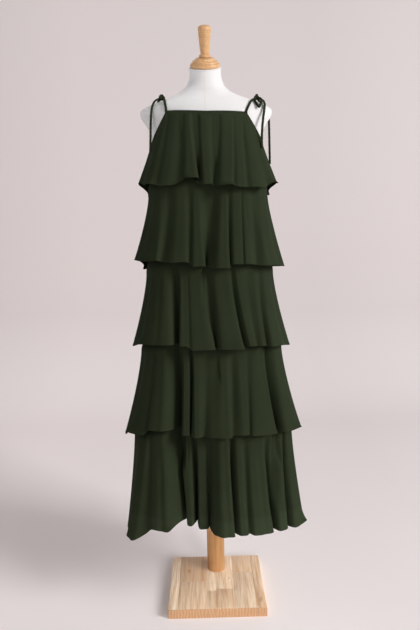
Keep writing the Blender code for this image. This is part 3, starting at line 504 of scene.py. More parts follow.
def grid_tables(grid, heights):
    """Least reach of a tier's grid at each height, going on past its hem."""
    tables = []
    for height in heights:
        ring = []
        for column in np.swapaxes(grid, 0, 1):
            row = int(np.clip(np.sum(column[:, 2] > height) - 1, 0, len(column) - 2))
            above, below = column[row], column[row + 1]
            share = (height - above[2]) / min(below[2] - above[2], -1e-5)
            ring.append(lerp(above[:2], below[:2], min(share, 8.0)))
        tables.append(reach_table(np.array(ring), np.minimum))
    return np.array(tables)


def look_up(tables, heights, height, direction):
    """A reach between the tables' heights and directions."""
    row = np.clip((height - heights[0]) / TABLE_STEP, 0.0, len(heights) - 1.001)
    column = (direction % 360.0) * DIRECTIONS / 360.0
    low_row, low_column = np.floor(row).astype(int), np.floor(column).astype(int)
    up, along = row - low_row, column - low_column
    low_column = low_column % DIRECTIONS
    next_column = (low_column + 1) % DIRECTIONS
    low = lerp(tables[low_row, low_column], tables[low_row, next_column], along)
    high = lerp(tables[low_row + 1, low_column], tables[low_row + 1, next_column], along)
    return lerp(low, high, up)


# Tiers
def control_values(folds):
    """Four control points a fold: left edge, crest, right edge and the trough that follows."""
    count = len(folds)
    rows = []
    for index, fold in enumerate(folds):
        following = folds[(index + 1) % count]
        wrap = 360.0 if index == count - 1 else 0.0
        top_middle = 0.5 * (fold.top_right + following.top_left + wrap)
        hem_middle = 0.5 * (fold.hem_right + following.hem_left + wrap)
        left_round = FOLD_ROUNDING * folds[index - 1].trough
        right_round = FOLD_ROUNDING * fold.trough
        deepest = fold.trough + 0.5 * (fold.setback + following.setback)
        rows.append((fold.top_left, fold.hem_left, fold.setback + left_round, 0.0, fold.drop))
        rows.append((0.5 * (fold.top_left + fold.top_right), 0.5 * (fold.hem_left + fold.hem_right),
                     fold.setback, 0.0, fold.drop))
        rows.append((fold.top_right, fold.hem_right, fold.setback + right_round, 0.0, fold.drop))
        rows.append((top_middle, hem_middle, deepest, fold.tuck, 0.5 * (fold.drop + following.drop)))
    return np.array(rows)


def spline(values, places, growth=0.0):
    """A smooth closed curve through the values, which grow by a full turn's worth each time round."""
    count = len(values)
    start = np.floor(places).astype(int)

    def value(step):
        index = start + step
        return values[index % count] + growth * (index // count)

    before, first, second, after = (value(step) for step in (-1, 0, 1, 2))
    return cubic(first, second, 0.5 * (second - before), 0.5 * (after - first), places - start)


def crease_height(creases, turn, grown):
    """How far soft ridges stand out, and troughs lie in, at turns and shares of the way down."""
    height = np.zeros(np.broadcast(turn, grown).shape)
    for crease in creases:
        strength = smooth_step(crease.start - 0.12, crease.start + 0.12, grown)
        strength = strength * (1.0 - smooth_step(crease.end - 0.15, crease.end + 0.15, grown))
        height += crease.height * strength * bell(turn, lerp(crease.top, crease.hem, grown), crease.width)
    return height / 1000.0


def scattered_creases(seed, first, last, count, tallest):
    """Small soft creases spread over a stretch of a tier, uneven in place, width and depth."""
    chance = np.random.default_rng(seed)
    creases = []
    for index in range(count):
        top = lerp(first, last, (index + chance.uniform(0.1, 0.9)) / count)
        start = chance.uniform(-0.3, 0.55)
        creases.append(Crease(top, top + chance.normal(0.0, 2.0), chance.uniform(1.0, 2.6),
                              chance.choice([-1.0, 1.0]) * chance.uniform(0.4, 1.0) * tallest,
                              start, start + chance.uniform(0.5, 1.2)))
    return creases


def roll_share(tier):
    """The rolled hem's share of the way down a tier."""
    return HEM_ROLL / ((tier.seam or FRONT_NECK) - tier.hem)


def tier_shares(tier):
    """Shares of the way down a tier, closer together near the hem for its rolled edge."""
    near_hem = 1.0 - np.array([1.25, 1.0, 0.72, 0.42, 0.16, 0.0]) * roll_share(tier)
    return np.concatenate([np.linspace(0.0, 1.0 - 1.6 * roll_share(tier), TIER_ROWS), near_hem])


def gathered_crests(inset, turn, shares):
    """How far the first tier's crests stand out below the neck binding, most in the middle."""
    crest = 1.0 - np.clip(inset / inset.max(), 0.0, 1.0)
    fading = smooth_step(0.0, 0.07, shares) * (1.0 - smooth_step(0.12, 0.55, shares))
    middle = lerp(GATHER_BESIDE, 1.0, bell(turn, GATHER_TURN, GATHER_WIDE))
    return GATHER * crest * fading * middle * (np.abs(turn) < 90.0)


def tier_surface(tier, creases, above):
    """The outer points of a tier: rows down from its seam, columns round it."""
    folds = [Fold(*row) for row in FRONT_FOLDS[tier.name] + BACK_FOLDS[tier.name]]
    values = control_values(folds)
    places = np.arange(0.0, 4.0 * len(folds), 4.0 / FOLD_SAMPLES)
    top_turn, hem_turn = (spline(values[:, column], places, 360.0)[None, :] for column in (0, 1))
    inset, tuck, drop = (spline(values[:, column], places)[None, :] for column in (2, 3, 4))
    behind = 0.5 * (1.0 - np.cos(np.radians(hem_turn)))
    hem = tier.hem - drop / 1000.0 - tier.back_drop * behind
    shares = tier_shares(tier)[:, None]
    first = tier.seam is None
    if first:
        top = cloth_top(top_turn)
        upper = Ring(*np.array([blend_rows(LINING, height)[1:4] for height in top[0]]).T)
        ring_share = shares
        power = lerp(blend_rows(LINING, 0.5 * (FRONT_NECK + UNDERARM)).power, TIER_POWER, shares)
    else:
        top = np.full_like(hem, tier.seam)
        upper = tier.upper
        ring_share = np.clip((tier.under - lerp(top, hem, shares)) / (tier.under - hem), 0.0, 1.0) ** FLARE
        power = TIER_POWER
    height = lerp(top, hem, shares)
    turn = lerp(top_turn, hem_turn, shares) - tuck * shares ** TUCK_GROWTH
    ring = [lerp(a, b, ring_share) for a, b in zip(upper, tier.lower)]
    flat = rounded_ring(turn, *ring, power)
    reach = np.hypot(flat[..., 0], flat[..., 1])
    sunk = inset / 1000.0 * shares ** (FIRST_GROWTH if first else FOLD_GROWTH)
    wanted = reach - sunk + crease_height(creases, turn, shares)
    if first:
        wanted = wanted + gathered_crests(inset, turn, shares)
    near_hem = np.clip((shares - 1.0 + CURL_REACH) / CURL_REACH, 0.0, 1.0) ** 2
    for middle, width, out, up in CURLS[tier.name]:
        curled = near_hem * bell(turn, middle, width) / 1000.0
        wanted = wanted + out * curled
        height = height + up * curled
    heights = np.arange(tier.hem - 0.06, FRONT_NECK + TABLE_STEP, TABLE_STEP)
    direction = direction_of(flat)
    lining = look_up(lining_tables(heights), heights, height, direction)
    fitted = keep_between(tier, wanted, lining, height, direction, heights, shares, above)
    flat = flat * (fitted / reach)[..., None]
    return np.concatenate([flat, height[..., None]], axis=-1)


def keep_between(tier, wanted, lining, height, direction, heights, shares, above):
    """Reaches that start on the lining and stay between it and the tier above."""
    seated = lining + SEAT + WALL
    if tier.seam is None:
        return np.maximum(wanted, lerp(seated, lining + LINING_ROOM + WALL, smooth_step(0.0, 0.25, shares)))
    covered = (tier.seam - tier.under) / (tier.seam - tier.hem)
    low = lining + WALL + lerp(SEAT, LINING_ROOM, smooth_step(0.0, 0.3, shares))
    if tier is not TIERS[-1]:
        low = low + (NEXT_TIER_ROOM - LINING_ROOM) * smooth_step(0.6, 0.85, shares)
    fitted = np.maximum(lerp(seated, wanted, smooth_step(-0.02, 0.9 * covered, shares)), low)
    high = look_up(grid_tables(above, heights), heights, height, direction) - NESTING_GAP - WALL
    pressed = smooth_step(tier.under - RELEASE, tier.under - 0.01, height)
    return lerp(fitted, np.minimum(fitted, np.maximum(high, low)), pressed)


def inner_surface(outer, thickness):
    """A grid's points moved inwards by a wall's thickness at each row."""
    flat = outer[..., :2]
    after = np.roll(flat, -1, axis=1) - np.roll(flat, 1, axis=1)
    after /= np.maximum(np.linalg.norm(after, axis=-1), 1e-9)[..., None]
    inward = np.stack([-after[..., 1], after[..., 0]], axis=-1)
    moved = outer.copy()
    moved[..., :2] = flat + inward * thickness[..., None]
    return moved


def closed_shell(name, outer, inner, finish):
    """A thin closed wall between two grids that go all the way round."""
    rows, columns = outer.shape[:2]
    points = np.concatenate([outer.reshape(-1, 3), inner.reshape(-1, 3)])
    half = rows * columns
    faces = [grid_faces(rows, columns), grid_faces(rows, columns, half, True)]
    column = np.arange(columns)
    for row, flip in ((0, False), (rows - 1, True)):
        a, b = row * columns + column, row * columns + (column + 1) % columns
        rim = [a, b, b + half, a + half]
        if flip:
            rim.reverse()
        faces.append(np.stack(rim, axis=-1))
    return object_from(name, points, np.concatenate(faces), finish)


def add_tiers(finish):
    above = None
    for number, tier in enumerate(TIERS):
        creases = [Crease(*row) for row in CREASES[tier.name]]
        creases += scattered_creases(SCATTER[0] + number, *SCATTER[1:])
        outer = tier_surface(tier, creases, above)
        shares = tier_shares(tier)[:, None] * np.ones(outer.shape[:2])
        roll = roll_share(tier)
        thickness = lerp(CHIFFON, HEM_THICK, smooth_step(1.0 - 1.3 * roll, 1.0 - 0.9 * roll, shares))
        puffed = inner_surface(outer, -0.5 * (thickness - CHIFFON))
        piece = closed_shell(f"{tier.name}_chiffon", puffed, inner_surface(puffed, thickness), finish)
        attach(piece, "chiffon", f"{tier.name}_front", f"{tier.name}_back")
        above = outer


def add_lining(finish):
    """The lining: close at the body, in a few soft waves towards its hem."""
    turns = np.arange(0.0, 360.0, 1.0)
    shares = np.linspace(0.0, 1.0, 60)
    height = lerp(cloth_top(turns)[None, :], LINING_HEM, shares[:, None])
    outer = np.zeros(height.shape + (3,))
    for row, share in enumerate(shares):
        wave = LINING_WAVE * smooth_step(0.75, 1.0, share)
        for column, turn in enumerate(turns):
            section = blend_rows(LINING, height[row, column])
            inset = LINING_INSET + wave * math.sin(math.radians(turn * LINING_WAVES))
            outer[row, column] = section_points(section, turn, inset)
        outer[row, :, 2] = height[row]
    inner = inner_surface(outer, np.full(height.shape, LINING_CLOTH))
    piece = closed_shell("lining_cloth", outer, inner, finish)
    attach(piece, "lining", "lining_front", "lining_back")


# Soft creases that show in the photograph, on top of the folds, in the order of Crease: turns and
# widths in degrees, heights in millimetres, start and end as shares of the way down
CREASES = {
    "tier_1": [
        (-24, -22, 3.4, -2.6, 0.05), (-52, -56, 4.0, -1.2, 0.35),
        (36, 33, 3.0, -1.2, 0.40), (8, 2.8, 2.2, -5.0, -0.2),
        (-9, -2.4, 1.8, -4.0, -0.2), (24, 14, 3.0, 2.0, 0.1, 0.9),
    ],
    "tier_2": [
        (-40, -34, 2.2, 1.8, 0.30), (42, 40, 2.4, 1.6, 0.35),
        (-54, -50, 1.8, -1.6, 0.40), (30, 26, 1.5, -1.2, 0.45),
    ],
    "tier_3": [
        (-46, -34, 2.2, -2.0, 0.35), (-18, -12, 1.4, -1.4, 0.30),
        (14, 19, 1.6, 1.4, 0.30), (44, 40, 2.2, 1.5, 0.35),
    ],
    "tier_4": [
        (-52, -46, 2.6, -1.8, 0.40), (10, 9, 1.8, -1.4, 0.35),
        (15, 12, 1.4, 1.2, 0.35), (35, 33, 1.6, -1.2, 0.45),
        (-28, -20, 3.0, -14, 0.10), (47, 40, 3.0, -14, 0.10, 1.0),
        (48, 44, 1.8, 1.6, 0.40),
    ],
    "tier_5": [
        (-33, -27, 2.2, -2.2, 0.45, 1.3), (6, 7, 1.4, -1.2, 0.40, 1.3),
        (-26, -19, 3.0, -22, 0.10, 0.9), (47, 33, 4.0, -18, 0.10, 0.8),
        (17, 17, 1.2, 1.2, 0.40, 1.3), (24, 25, 1.6, -1.5, 0.40, 1.3),
        (47, 41, 1.6, 1.4, 0.40, 1.3), (-55, -52, 2.4, -1.8, 0.40, 1.3),
    ],
}


# Where a hem curls: turn and width in degrees, then out, or in where negative, and up in millimetres
CURLS = {
    "tier_1": [(-7, 5.0, 10, 3), (9, 6.5, 16, 4), (-48, 7.0, 8, 0), (64, 8.0, 10, 2),
               (150, 8.0, 10, 2), (205, 9.0, 9, 2)],
    "tier_2": [(-64, 9.0, 10, 0), (62, 8.0, 8, 0), (5, 5.0, 6, 0), (168, 8.0, 9, 2)],
    "tier_3": [(-62, 9.0, 10, 0), (12, 6.0, 6, 0), (150, 9.0, 8, 0), (214, 8.0, 8, 0)],
    "tier_4": [(-62, 9.0, 14, 4), (66, 8.0, 12, 4), (3, 4.0, 6, 0), (190, 9.0, 8, 0)],
    "tier_5": [(-50, 8.0, 8, 0), (-17.5, 2.5, -4, 18), (-8.6, 1.6, -3, 10),
               (66, 8.0, 10, 3), (160, 9.0, 8, 0), (240, 9.0, 8, 0)],
}


# Strips, tubes and turned pieces
def tube(name, points, finish):
    """A tie: a soft closed tube along points, its sides carried on from ring to ring."""
    points = [Vector(point) for point in points]
    across = Vector((0.0, 0.0, 1.0)).cross(points[1] - points[0]).normalized()
    corners = []
    last = len(points) - 1
    for index, point in enumerate(points):
        along = (points[min(index + 1, last)] - points[max(index - 1, 0)]).normalized()
        across = (across - along * across.dot(along)).normalized()
        beside = along.cross(across)
        for side in range(TIE_SIDES):
            angle = math.tau * side / TIE_SIDES
            crinkle = 1.0 + TIE_CRINKLE * (math.sin(1.9 * index + 2.0 * angle)
                                           + 0.6 * math.sin(0.83 * index - angle))
            corners.append(point + (across * (0.5 * TIE_WIDE * math.cos(angle))
                                    + beside * (0.5 * TIE_DEEP * math.sin(angle))) * crinkle)
    return rings_object(name, np.array(corners).reshape(len(points), TIE_SIDES, 3), finish)


def rings_object(name, rings, finish):
    """A closed body through rings of points, with both ends filled."""
    count, sides = rings.shape[:2]
    points = np.concatenate([rings.reshape(-1, 3), rings[:1].mean(axis=1), rings[-1:].mean(axis=1)])
    first, last = count * sides, count * sides + 1
    end = (count - 1) * sides
    faces = [tuple(face) for face in grid_faces(count, sides)]
    for side in range(sides):
        beside = (side + 1) % sides
        faces += [(side, beside, first), (end + beside, end + side, last)]
    item = object_from(name, points, faces, finish)
    outward_faces(item)
    return item


def outward_faces(item):
    shape = bmesh.new()
    shape.from_mesh(item.data)
    bmesh.ops.recalc_face_normals(shape, faces=shape.faces)
    shape.to_mesh(item.data)
    shape.free()


def smooth_route(points, spacing):
    """Evenly spaced points on a smooth open curve through the given ones."""
    given = [Vector(point) for point in points]
    padded = [given[0] * 2 - given[1]] + given + [given[-1] * 2 - given[-2]]
    dense = []
    for index in range(1, len(padded) - 2):
        before, first, second, after = padded[index - 1:index + 3]
        for step in range(20):
            dense.append(cubic(first, second, 0.5 * (second - before), 0.5 * (after - first), step / 20.0))
    dense.append(given[-1])
    lengths = [0.0]
    for a, b in zip(dense[:-1], dense[1:]):
        lengths.append(lengths[-1] + (b - a).length)
    count = max(int(round(lengths[-1] / spacing)), 2) + 1
    wanted = np.linspace(0.0, lengths[-1], count)
    axes = [np.interp(wanted, lengths, [point[axis] for point in dense]) for axis in range(3)]
    return [Vector(values) for values in zip(*axes)]


def split_route(points, length):
    """A route's first stretch of a length, and the rest of it."""
    reached = 0.0
    for index in range(1, len(points)):
        step = points[index] - points[index - 1]
        if reached + step.length >= length:
            middle = points[index - 1] + step * ((length - reached) / step.length)
            return points[:index] + [middle], [middle] + points[index:]
        reached += step.length
    return points, points[-1:]


# Bound edges: a folded strip, as steps out from the lining in millimetres and shares of its depth
BINDING_OUTLINE = [
    (-1.0, 1.00), (-1.3, 0.60), (-1.2, 0.20), (-0.6, 0.00), (0.5, -0.07), (1.6, -0.02), (2.3, 0.14),
    (2.5, 0.42), (2.2, 0.66), (1.85, 0.78), (2.1, 0.88), (1.8, 0.98), (0.6, 1.04),
]


def add_bindings(finish):
    neck = np.linspace(-CORNER_TURN, CORNER_TURN, 121)
    arm = np.linspace(CORNER_TURN, 180.0 - CORNER_TURN, 141)
    for node, turns in (("neck_binding_front", neck), ("neck_binding_back", neck + 180.0),
                        ("armhole_binding_right", arm), ("armhole_binding_left", arm + 180.0)):
        rings = []
        for index, turn in enumerate(turns):
            edge, deep = float(neck_edge(turn)), float(binding_depth(turn))
            section = blend_rows(LINING, edge)
            pucker = 0.18 * math.sin(index * 1.7) + 0.12 * math.sin(index * 0.9 + turn)
            ring = []
            for out, down in BINDING_OUTLINE:
                swell = out + (pucker * (0.4 + 0.6 * down) if out > 0.5 else 0.0)
                flat = section_points(section, np.array(turn), -swell / 1000.0)
                ring.append((flat[0], flat[1], edge - down * deep))
            rings.append(ring)
        piece = rings_object(f"{node}_strip", np.array(rings), finish)
        attach(piece, "chiffon", node)


def over_shoulder(form_tree, corner, knot, count):
    """Points from a neck corner up to a knot, a tie's radius off the form's surface."""
    lift = TIE_RADIUS + TIE_LIFT
    start = math.atan2(corner[2] - SHOULDER_MIDDLE, abs(corner[1]))
    points = [Vector(corner)]
    for index in range(1, count):
        share = index / count
        beside = knot[0] - math.copysign(STRAP_BESIDE, knot[0])
        middle = Vector((lerp(corner[0], beside, share), 0.0, SHOULDER_MIDDLE))
        angle = lerp(start, math.radians(STRAP_TOP_ANGLE), share)
        outward = Vector((0.0, math.copysign(math.cos(angle), corner[1]), math.sin(angle)))
        hit = form_tree.ray_cast(middle + outward * FAR_OUTSIDE, -outward)
        points.append(hit[0] + outward * lift)
    return points


def loop_route(knot, loop):
    """A bow's loop from the knot out to its tip and back."""
    direction = Vector(loop.direction).normalized()
    beside = direction.cross(Vector((0.0, 0.0, 1.0))).normalized()
    if loop.upright:
        beside = beside.cross(direction)
    points = []
    for share in np.linspace(0.0, 1.0, 15):
        out = math.sin(math.pi * share) ** 0.85
        side = -1.0 if share < 0.5 else 0.85
        spread = side * (0.4 * TIE_RADIUS + 4.0 * loop.half_width * out) * (1.0 - out)
        points.append(Vector(knot) + direction * (loop.length * out) + beside * spread
                      + Vector((0.0, 0.0, -loop.sag * out ** 2)))
    return smooth_route(points, LOOP_SPACING)


def knot_mesh(name, centre, finish):
    """A small wrapped knot: a rounded body with two soft bands round it."""
    rings = []
    for polar in math.pi * np.linspace(0.02, 0.98, 19):
        ring = []
        for turn in full_turn(28):
            band = 1.0 + 0.10 * math.sin(3.0 * polar + 2.0 * turn)
            radius = KNOT_SIZE * (band + 0.05 * math.sin(5.0 * polar - 3.0 * turn))
            ring.append((centre[0] + 1.15 * radius * math.sin(polar) * math.cos(turn),
                         centre[1] + 0.95 * radius * math.sin(polar) * math.sin(turn),
                         centre[2] + 0.85 * radius * math.cos(polar)))
        rings.append(ring)
    return rings_object(name, np.array(rings), finish)


def join(items):
    """One object from several, in the first one's name."""
    shape = bmesh.new()
    for item in items:
        shape.from_mesh(item.data)
    shape.to_mesh(items[0].data)
    shape.free()
    for item in items[1:]:
        bpy.data.objects.remove(item)
    return items[0]


def add_ties(form, finish):
    """Straps from the neck corners over the shoulders, knotted bows and the ties' free ends."""
    tree = BVHTree.FromPolygons([tuple(vertex.co) for vertex in form.data.vertices],
                                [tuple(polygon.vertices) for polygon in form.data.polygons])
    for bow in BOWS:
        outward = math.copysign(1.0, bow.knot[0])
        pieces = [knot_mesh(f"bow_{bow.side}_knot", bow.knot, finish)]
        for loop in (bow.front_loop, bow.back_loop):
            pieces.append(tube("loop", loop_route(bow.knot, loop), finish))
        for end, turn in (("front", CORNER_TURN), ("back", 180.0 - CORNER_TURN)):
            edge = float(neck_edge(outward * turn))
            corner = section_points(blend_rows(LINING, edge), np.array(turn), -STRAP_OUT)
            start = (outward * corner[0], corner[1], edge + STRAP_RISE)
            climb = over_shoulder(tree, start, bow.knot, 7)
            climb = smooth_route([bow.knot] + climb[::-1], ROUTE_SPACING)
            below = climb[-1] - Vector((0.0, 0.0, STRAP_CAUGHT))
            strap = tube(f"strap_{bow.side}_{end}_tie", climb + [below], finish)
            attach(strap, "chiffon", f"strap_{bow.side}_{end}")
            tail = smooth_route([bow.knot] + TAILS[(bow.side, end)], ROUTE_SPACING)
            stub, free = split_route(tail, STUB_LENGTH)
            pieces.append(tube("stub", stub, finish))
            route = smooth_route(free, TAIL_SPACING)
            piece = tube(f"tail_{bow.side}_{end}_tie", route, finish)
            attach(piece, "chiffon", f"tail_{bow.side}_{end}")
        attach(join(pieces), "chiffon", f"bow_{bow.side}")


# The form and its stand
def add_form(finish):
    """The covered body, in smooth sections kept inside the lining."""
    turns = np.linspace(0.0, 360.0, FORM_SIDES, endpoint=False)
    heights = np.concatenate([np.linspace(FORM[0].height, FORM[1].height, 8)[:-1],
                              np.linspace(FORM[1].height, FORM_FINE, 118)[:-1],
                              np.linspace(FORM_FINE, FORM[-1].height, 76)])
    rings = []
    for height in heights:
        section = smooth_rows(FORM, height)
        if height < FRONT_NECK:
            around = blend_rows(LINING, height)
            fields = ("front", "back", "half_width") if height < UNDERARM else ("front", "back")
            fitted = {field: min(getattr(section, field), getattr(around, field) - COVER_ROOM)
                      for field in fields}
            section = section._replace(**fitted)
        rings.append(section_points(section, turns))
    piece = rings_object("dress_form_cover", np.array(rings), finish)
    attach(piece, "form", "dress_form")


def neck_axis():
    tilt = Matrix.Rotation(math.radians(NECK_TILT), 4, 'X')
    return Matrix.Translation((0.0, NECK_OFFSET, NECK_HEIGHT)) @ tilt


def add_neck_rim(finish):
    """The rolled edge of the cover round the top of the neck."""
    axis = neck_axis()
    steps, sides = 120, 14
    points = []
    for angle in full_turn(steps):
        for around in full_turn(sides):
            reach = RIM_REACH + RIM_ROUND * math.cos(around)
            points.append(axis @ Vector((reach * math.cos(angle), reach * math.sin(angle),
                                         RIM_LOW + RIM_ROUND * math.sin(around))))
    piece = object_from("neck_rim", points, grid_faces(steps + 1, sides) % len(points), finish)
    outward_faces(piece)
    attach(piece, "form")


def turned(name, profile, finish, axis, parts=3):
    """A body turned on a lathe from a profile of radii and heights, each step in equal parts."""
    places = np.arange(len(profile))
    dense = np.linspace(0, len(profile) - 1, parts * (len(profile) - 1) + 1)
    radii, heights = (np.interp(dense, places, column) for column in zip(*profile))
    keep = radii > 1e-6
    radii, heights = radii[keep, None], heights[keep, None]
    turn = full_turn(LATHE_SIDES)
    rings = np.stack([radii * np.cos(turn), radii * np.sin(turn), heights * np.ones(len(turn))], axis=-1)
    item = rings_object(name, rings, finish)
    item.data.transform(axis)
    item.data.set_sharp_from_angle(angle=math.radians(TURNED_SHARP))
    return item


def add_wood(finish):
    neck = neck_axis()
    profiles = {"neck_cap": CAP_PROFILE, "neck_collar": COLLAR_PROFILE, "neck_handle": HANDLE_PROFILE}
    for node, profile in profiles.items():
        attach(turned(f"{node}_turned", profile, finish, neck), "wood", node)
    low, high = BOARD_THICK + GAP, FORM_BOTTOM
    profile = [(0.0, high), (POLE_RADIUS - 0.001, high), (POLE_RADIUS, high - 0.001),
               (POLE_RADIUS, low + 0.0006), (POLE_RADIUS - 0.0006, low), (0.0, low)]
    place = Matrix.Translation((0.0, POLE_BACK, 0.0))
    attach(turned("pole_turned", profile, finish, place, 1), "wood", "pole")


# Glued staves of the board: left, right, near and far edges in metres, tone and shift of the grain
STAVES = [
    (-0.150, -0.120, -0.150, 0.150, 0.80, 0.1),
    (-0.120, -0.030, -0.150, -0.005, 0.55, 0.7),
    (-0.120, -0.030, -0.005, 0.150, 0.10, 1.3),
    (-0.030, -0.004, -0.150, -0.056, 0.62, 2.1),
    (-0.030, -0.004, -0.056, 0.150, 0.85, 2.9),
    (-0.004, 0.054, -0.150, -0.047, 0.45, 3.3),
    (-0.004, 0.054, -0.047, 0.150, 0.75, 4.2),
    (0.054, 0.120, -0.150, 0.042, 0.70, 5.1),
    (0.054, 0.120, 0.042, 0.150, 0.25, 5.9),
    (0.120, 0.150, -0.150, 0.150, 0.60, 6.6),
]


def add_board(finish):
    """The board of glued staves, each with its own tone, rounded along the outer edges."""
    whole = bmesh.new()
    tone = whole.faces.layers.float.new("tone")
    shift = whole.faces.layers.float.new("shift")
    half = 0.5 * BOARD_SIDE

    def on_top(edge):
        return all(corner.co.z > BOARD_THICK - 1e-5 for corner in edge.verts)

    def on_outside(edge):
        by_side = [all(abs(abs(corner.co[axis]) - half) < 1e-5 for corner in edge.verts) for axis in (0, 1)]
        return (any(by_side) and on_top(edge)) or all(by_side)

    for left, right, near, far, shade, offset in STAVES:
        stave = bmesh.new()
        bmesh.ops.create_cube(stave, size=1.0)
        bmesh.ops.scale(stave, vec=(right - left, far - near, BOARD_THICK), verts=stave.verts)
        middle = (0.5 * (left + right), 0.5 * (near + far), 0.5 * BOARD_THICK)
        bmesh.ops.translate(stave, vec=middle, verts=stave.verts)
        outer = [edge for edge in stave.edges if on_outside(edge)]
        bmesh.ops.bevel(stave, geom=outer, offset=BOARD_ROUND, segments=4, profile=0.5, affect='EDGES')
        seams = [edge for edge in stave.edges
                 if edge.calc_length() > 0.01 and edge.calc_face_angle(0.0) > 1.2 and on_top(edge)]
        bmesh.ops.bevel(stave, geom=seams, offset=STAVE_ROUND, segments=2, profile=0.5, affect='EDGES')
        mesh = bpy.data.meshes.new("stave")
        stave.to_mesh(mesh)
        stave.free()
        before = len(whole.faces)
        whole.from_mesh(mesh)
        bpy.data.meshes.remove(mesh)
        whole.faces.ensure_lookup_table()
        for face in whole.faces[before:]:
            face[tone] = shade
            face[shift] = offset
    mesh = bpy.data.meshes.new("board_staves")
    whole.to_mesh(mesh)
    whole.free()
    mesh.materials.append(finish)
    mesh.shade_smooth()
    mesh.set_sharp_from_angle(angle=math.radians(SAWN_SHARP))
    attach(linked("board_staves", mesh), "board", "base_board")


# Materials
def linear(red, green, blue):
    """An sRGB colour of 0 to 255 as the linear values that shaders take."""
    values = []
    for channel in (red, green, blue):
        value = channel / 255.0
        values.append(value / 12.92 if value <= 0.04045 else ((value + 0.055) / 1.055) ** 2.4)
    return (*values, 1.0)


class Finish:
    """A material whose nodes are added one by one and linked by name."""

    def __init__(self, name, roughness, **values):
        self.material = bpy.data.materials.new(name)
        self.material.use_nodes = True
        self.tree = self.material.node_tree
        self.shader = self.tree.nodes["Principled BSDF"]
        self.shader.inputs["Roughness"].default_value = roughness
        for socket, value in values.items():
            self.shader.inputs[socket.replace("_", " ")].default_value = value
        self.place = self.add("ShaderNodeTexCoord").outputs["Object"]

    def add(self, kind, **values):
        node = self.tree.nodes.new(kind)
        for name, value in values.items():
            socket = name.replace("_", " ")
            if socket in node.inputs:
                node.inputs[socket].default_value = value
            else:
                setattr(node, name, value)
        return node

    def link(self, source, target):
        self.tree.links.new(source, target)

    def put(self, sockets, values):
        """Link or set the first sockets of a node."""
        for socket, value in zip(sockets, values):
            if isinstance(value, bpy.types.NodeSocket):
                self.link(value, socket)
            else:
                socket.default_value = value

    def axes(self):
        """The x, y and z of a point of the piece."""
        parts = self.add("ShaderNodeSeparateXYZ")
        self.link(self.place, parts.inputs[0])
        return parts.outputs

    def noise(self, scale, stretch=(1.0, 1.0, 1.0), detail=3.0, roughness=0.5):
        mapping = self.add("ShaderNodeMapping")
        mapping.inputs["Scale"].default_value = [scale * value for value in stretch]
        self.link(self.place, mapping.inputs["Vector"])
        noise = self.add("ShaderNodeTexNoise", Detail=detail, Roughness=roughness, Scale=1.0)
        self.link(mapping.outputs["Vector"], noise.inputs["Vector"])
        return noise.outputs["Fac"]

    def ramp(self, source, stops):
        ramp = self.add("ShaderNodeValToRGB")
        elements = ramp.color_ramp.elements
        for index, (position, colour) in enumerate(stops):
            element = elements[index] if index < 2 else elements.new(position)
            element.position = position
            element.color = colour
        self.link(source, ramp.inputs["Fac"])
        return ramp.outputs["Color"]

    def tones(self, source, *stops):
        """A ramp through colours of 0 to 255."""
        return self.ramp(source, [(position, linear(*colour)) for position, colour in stops])

    def fade(self, source, low, high, strength):
        """A share that grows from 0 to a strength between two values of the source."""
        return self.ramp(source, [(low, (0.0, 0.0, 0.0, 1.0)), (high, (strength, strength, strength, 1.0))])

    def mix(self, share, first, second):
        mix = self.add("ShaderNodeMix", data_type='RGBA')
        self.put((mix.inputs[0], mix.inputs[6], mix.inputs[7]), (share, first, second))
        return mix.outputs[2]

    def math(self, operation, first, second=0.0, clamp=False):
        node = self.add("ShaderNodeMath", operation=operation, use_clamp=clamp)
        self.put(node.inputs, (first, second))
        return node.outputs[0]

    def bump(self, height, strength, distance, under=None):
        bump = self.add("ShaderNodeBump", Strength=strength, Distance=distance)
        self.link(height, bump.inputs["Height"])
        if under is not None:
            self.link(under, bump.inputs["Normal"])
        return bump.outputs["Normal"]

    def done(self, colour, normal=None):
        self.link(colour, self.shader.inputs["Base Color"])
        if normal is not None:
            self.link(normal, self.shader.inputs["Normal"])
        return self.material


def chiffon_finish():
    """Thin matt olive cloth: a crepe grain, faint upright crinkles, and painted light showing through it
    where no lining backs it.
    """
    finish = Finish("chiffon", 0.82, Sheen_Weight=0.003, Sheen_Roughness=0.45,
                    Sheen_Tint=linear(150, 160, 120), Specular_IOR_Level=0.03)
    colour = finish.tones(finish.noise(11.0, detail=4.0), (0.30, (38, 45, 30)), (0.70, (43, 50, 34)))
    crepe = finish.noise(1500.0, detail=2.0, roughness=0.6)
    crepe_tone = finish.tones(crepe, (0.3, (30, 36, 23)), (0.7, (50, 57, 41)))
    colour = finish.mix(0.35, colour, crepe_tone)
    wander = finish.math('MULTIPLY', finish.noise(6.0), 0.02)
    height = finish.math('ADD', finish.axes()["Z"], wander)
    # Painted light: below the lining's hem the cloth is made paler, standing in for light that shows
    # through the sheer chiffon
    below = finish.math('SUBTRACT', LINING_HEM + 0.01, height)
    unlined_through_light = finish.math('MULTIPLY', below, THROUGH_LIGHT_EDGE, clamp=True)
    colour = finish.mix(finish.math('MULTIPLY', unlined_through_light, THROUGH_LIGHT_SHARE), colour, linear(72, 80, 60))
    crinkle = finish.noise(1.0, (70.0, 70.0, 7.0))
    normal = finish.bump(crinkle, 0.3, 0.0018)
    return finish.done(colour, finish.bump(crepe, 0.2, 0.0003, normal))


def lining_finish():
    finish = Finish("lining", 0.8)
    weave = finish.noise(2200.0, detail=1.0)
    colour = finish.tones(weave, (0.3, (30, 36, 25)), (0.7, (38, 44, 31)))
    return finish.done(colour, finish.bump(weave, 0.2, 0.0002))


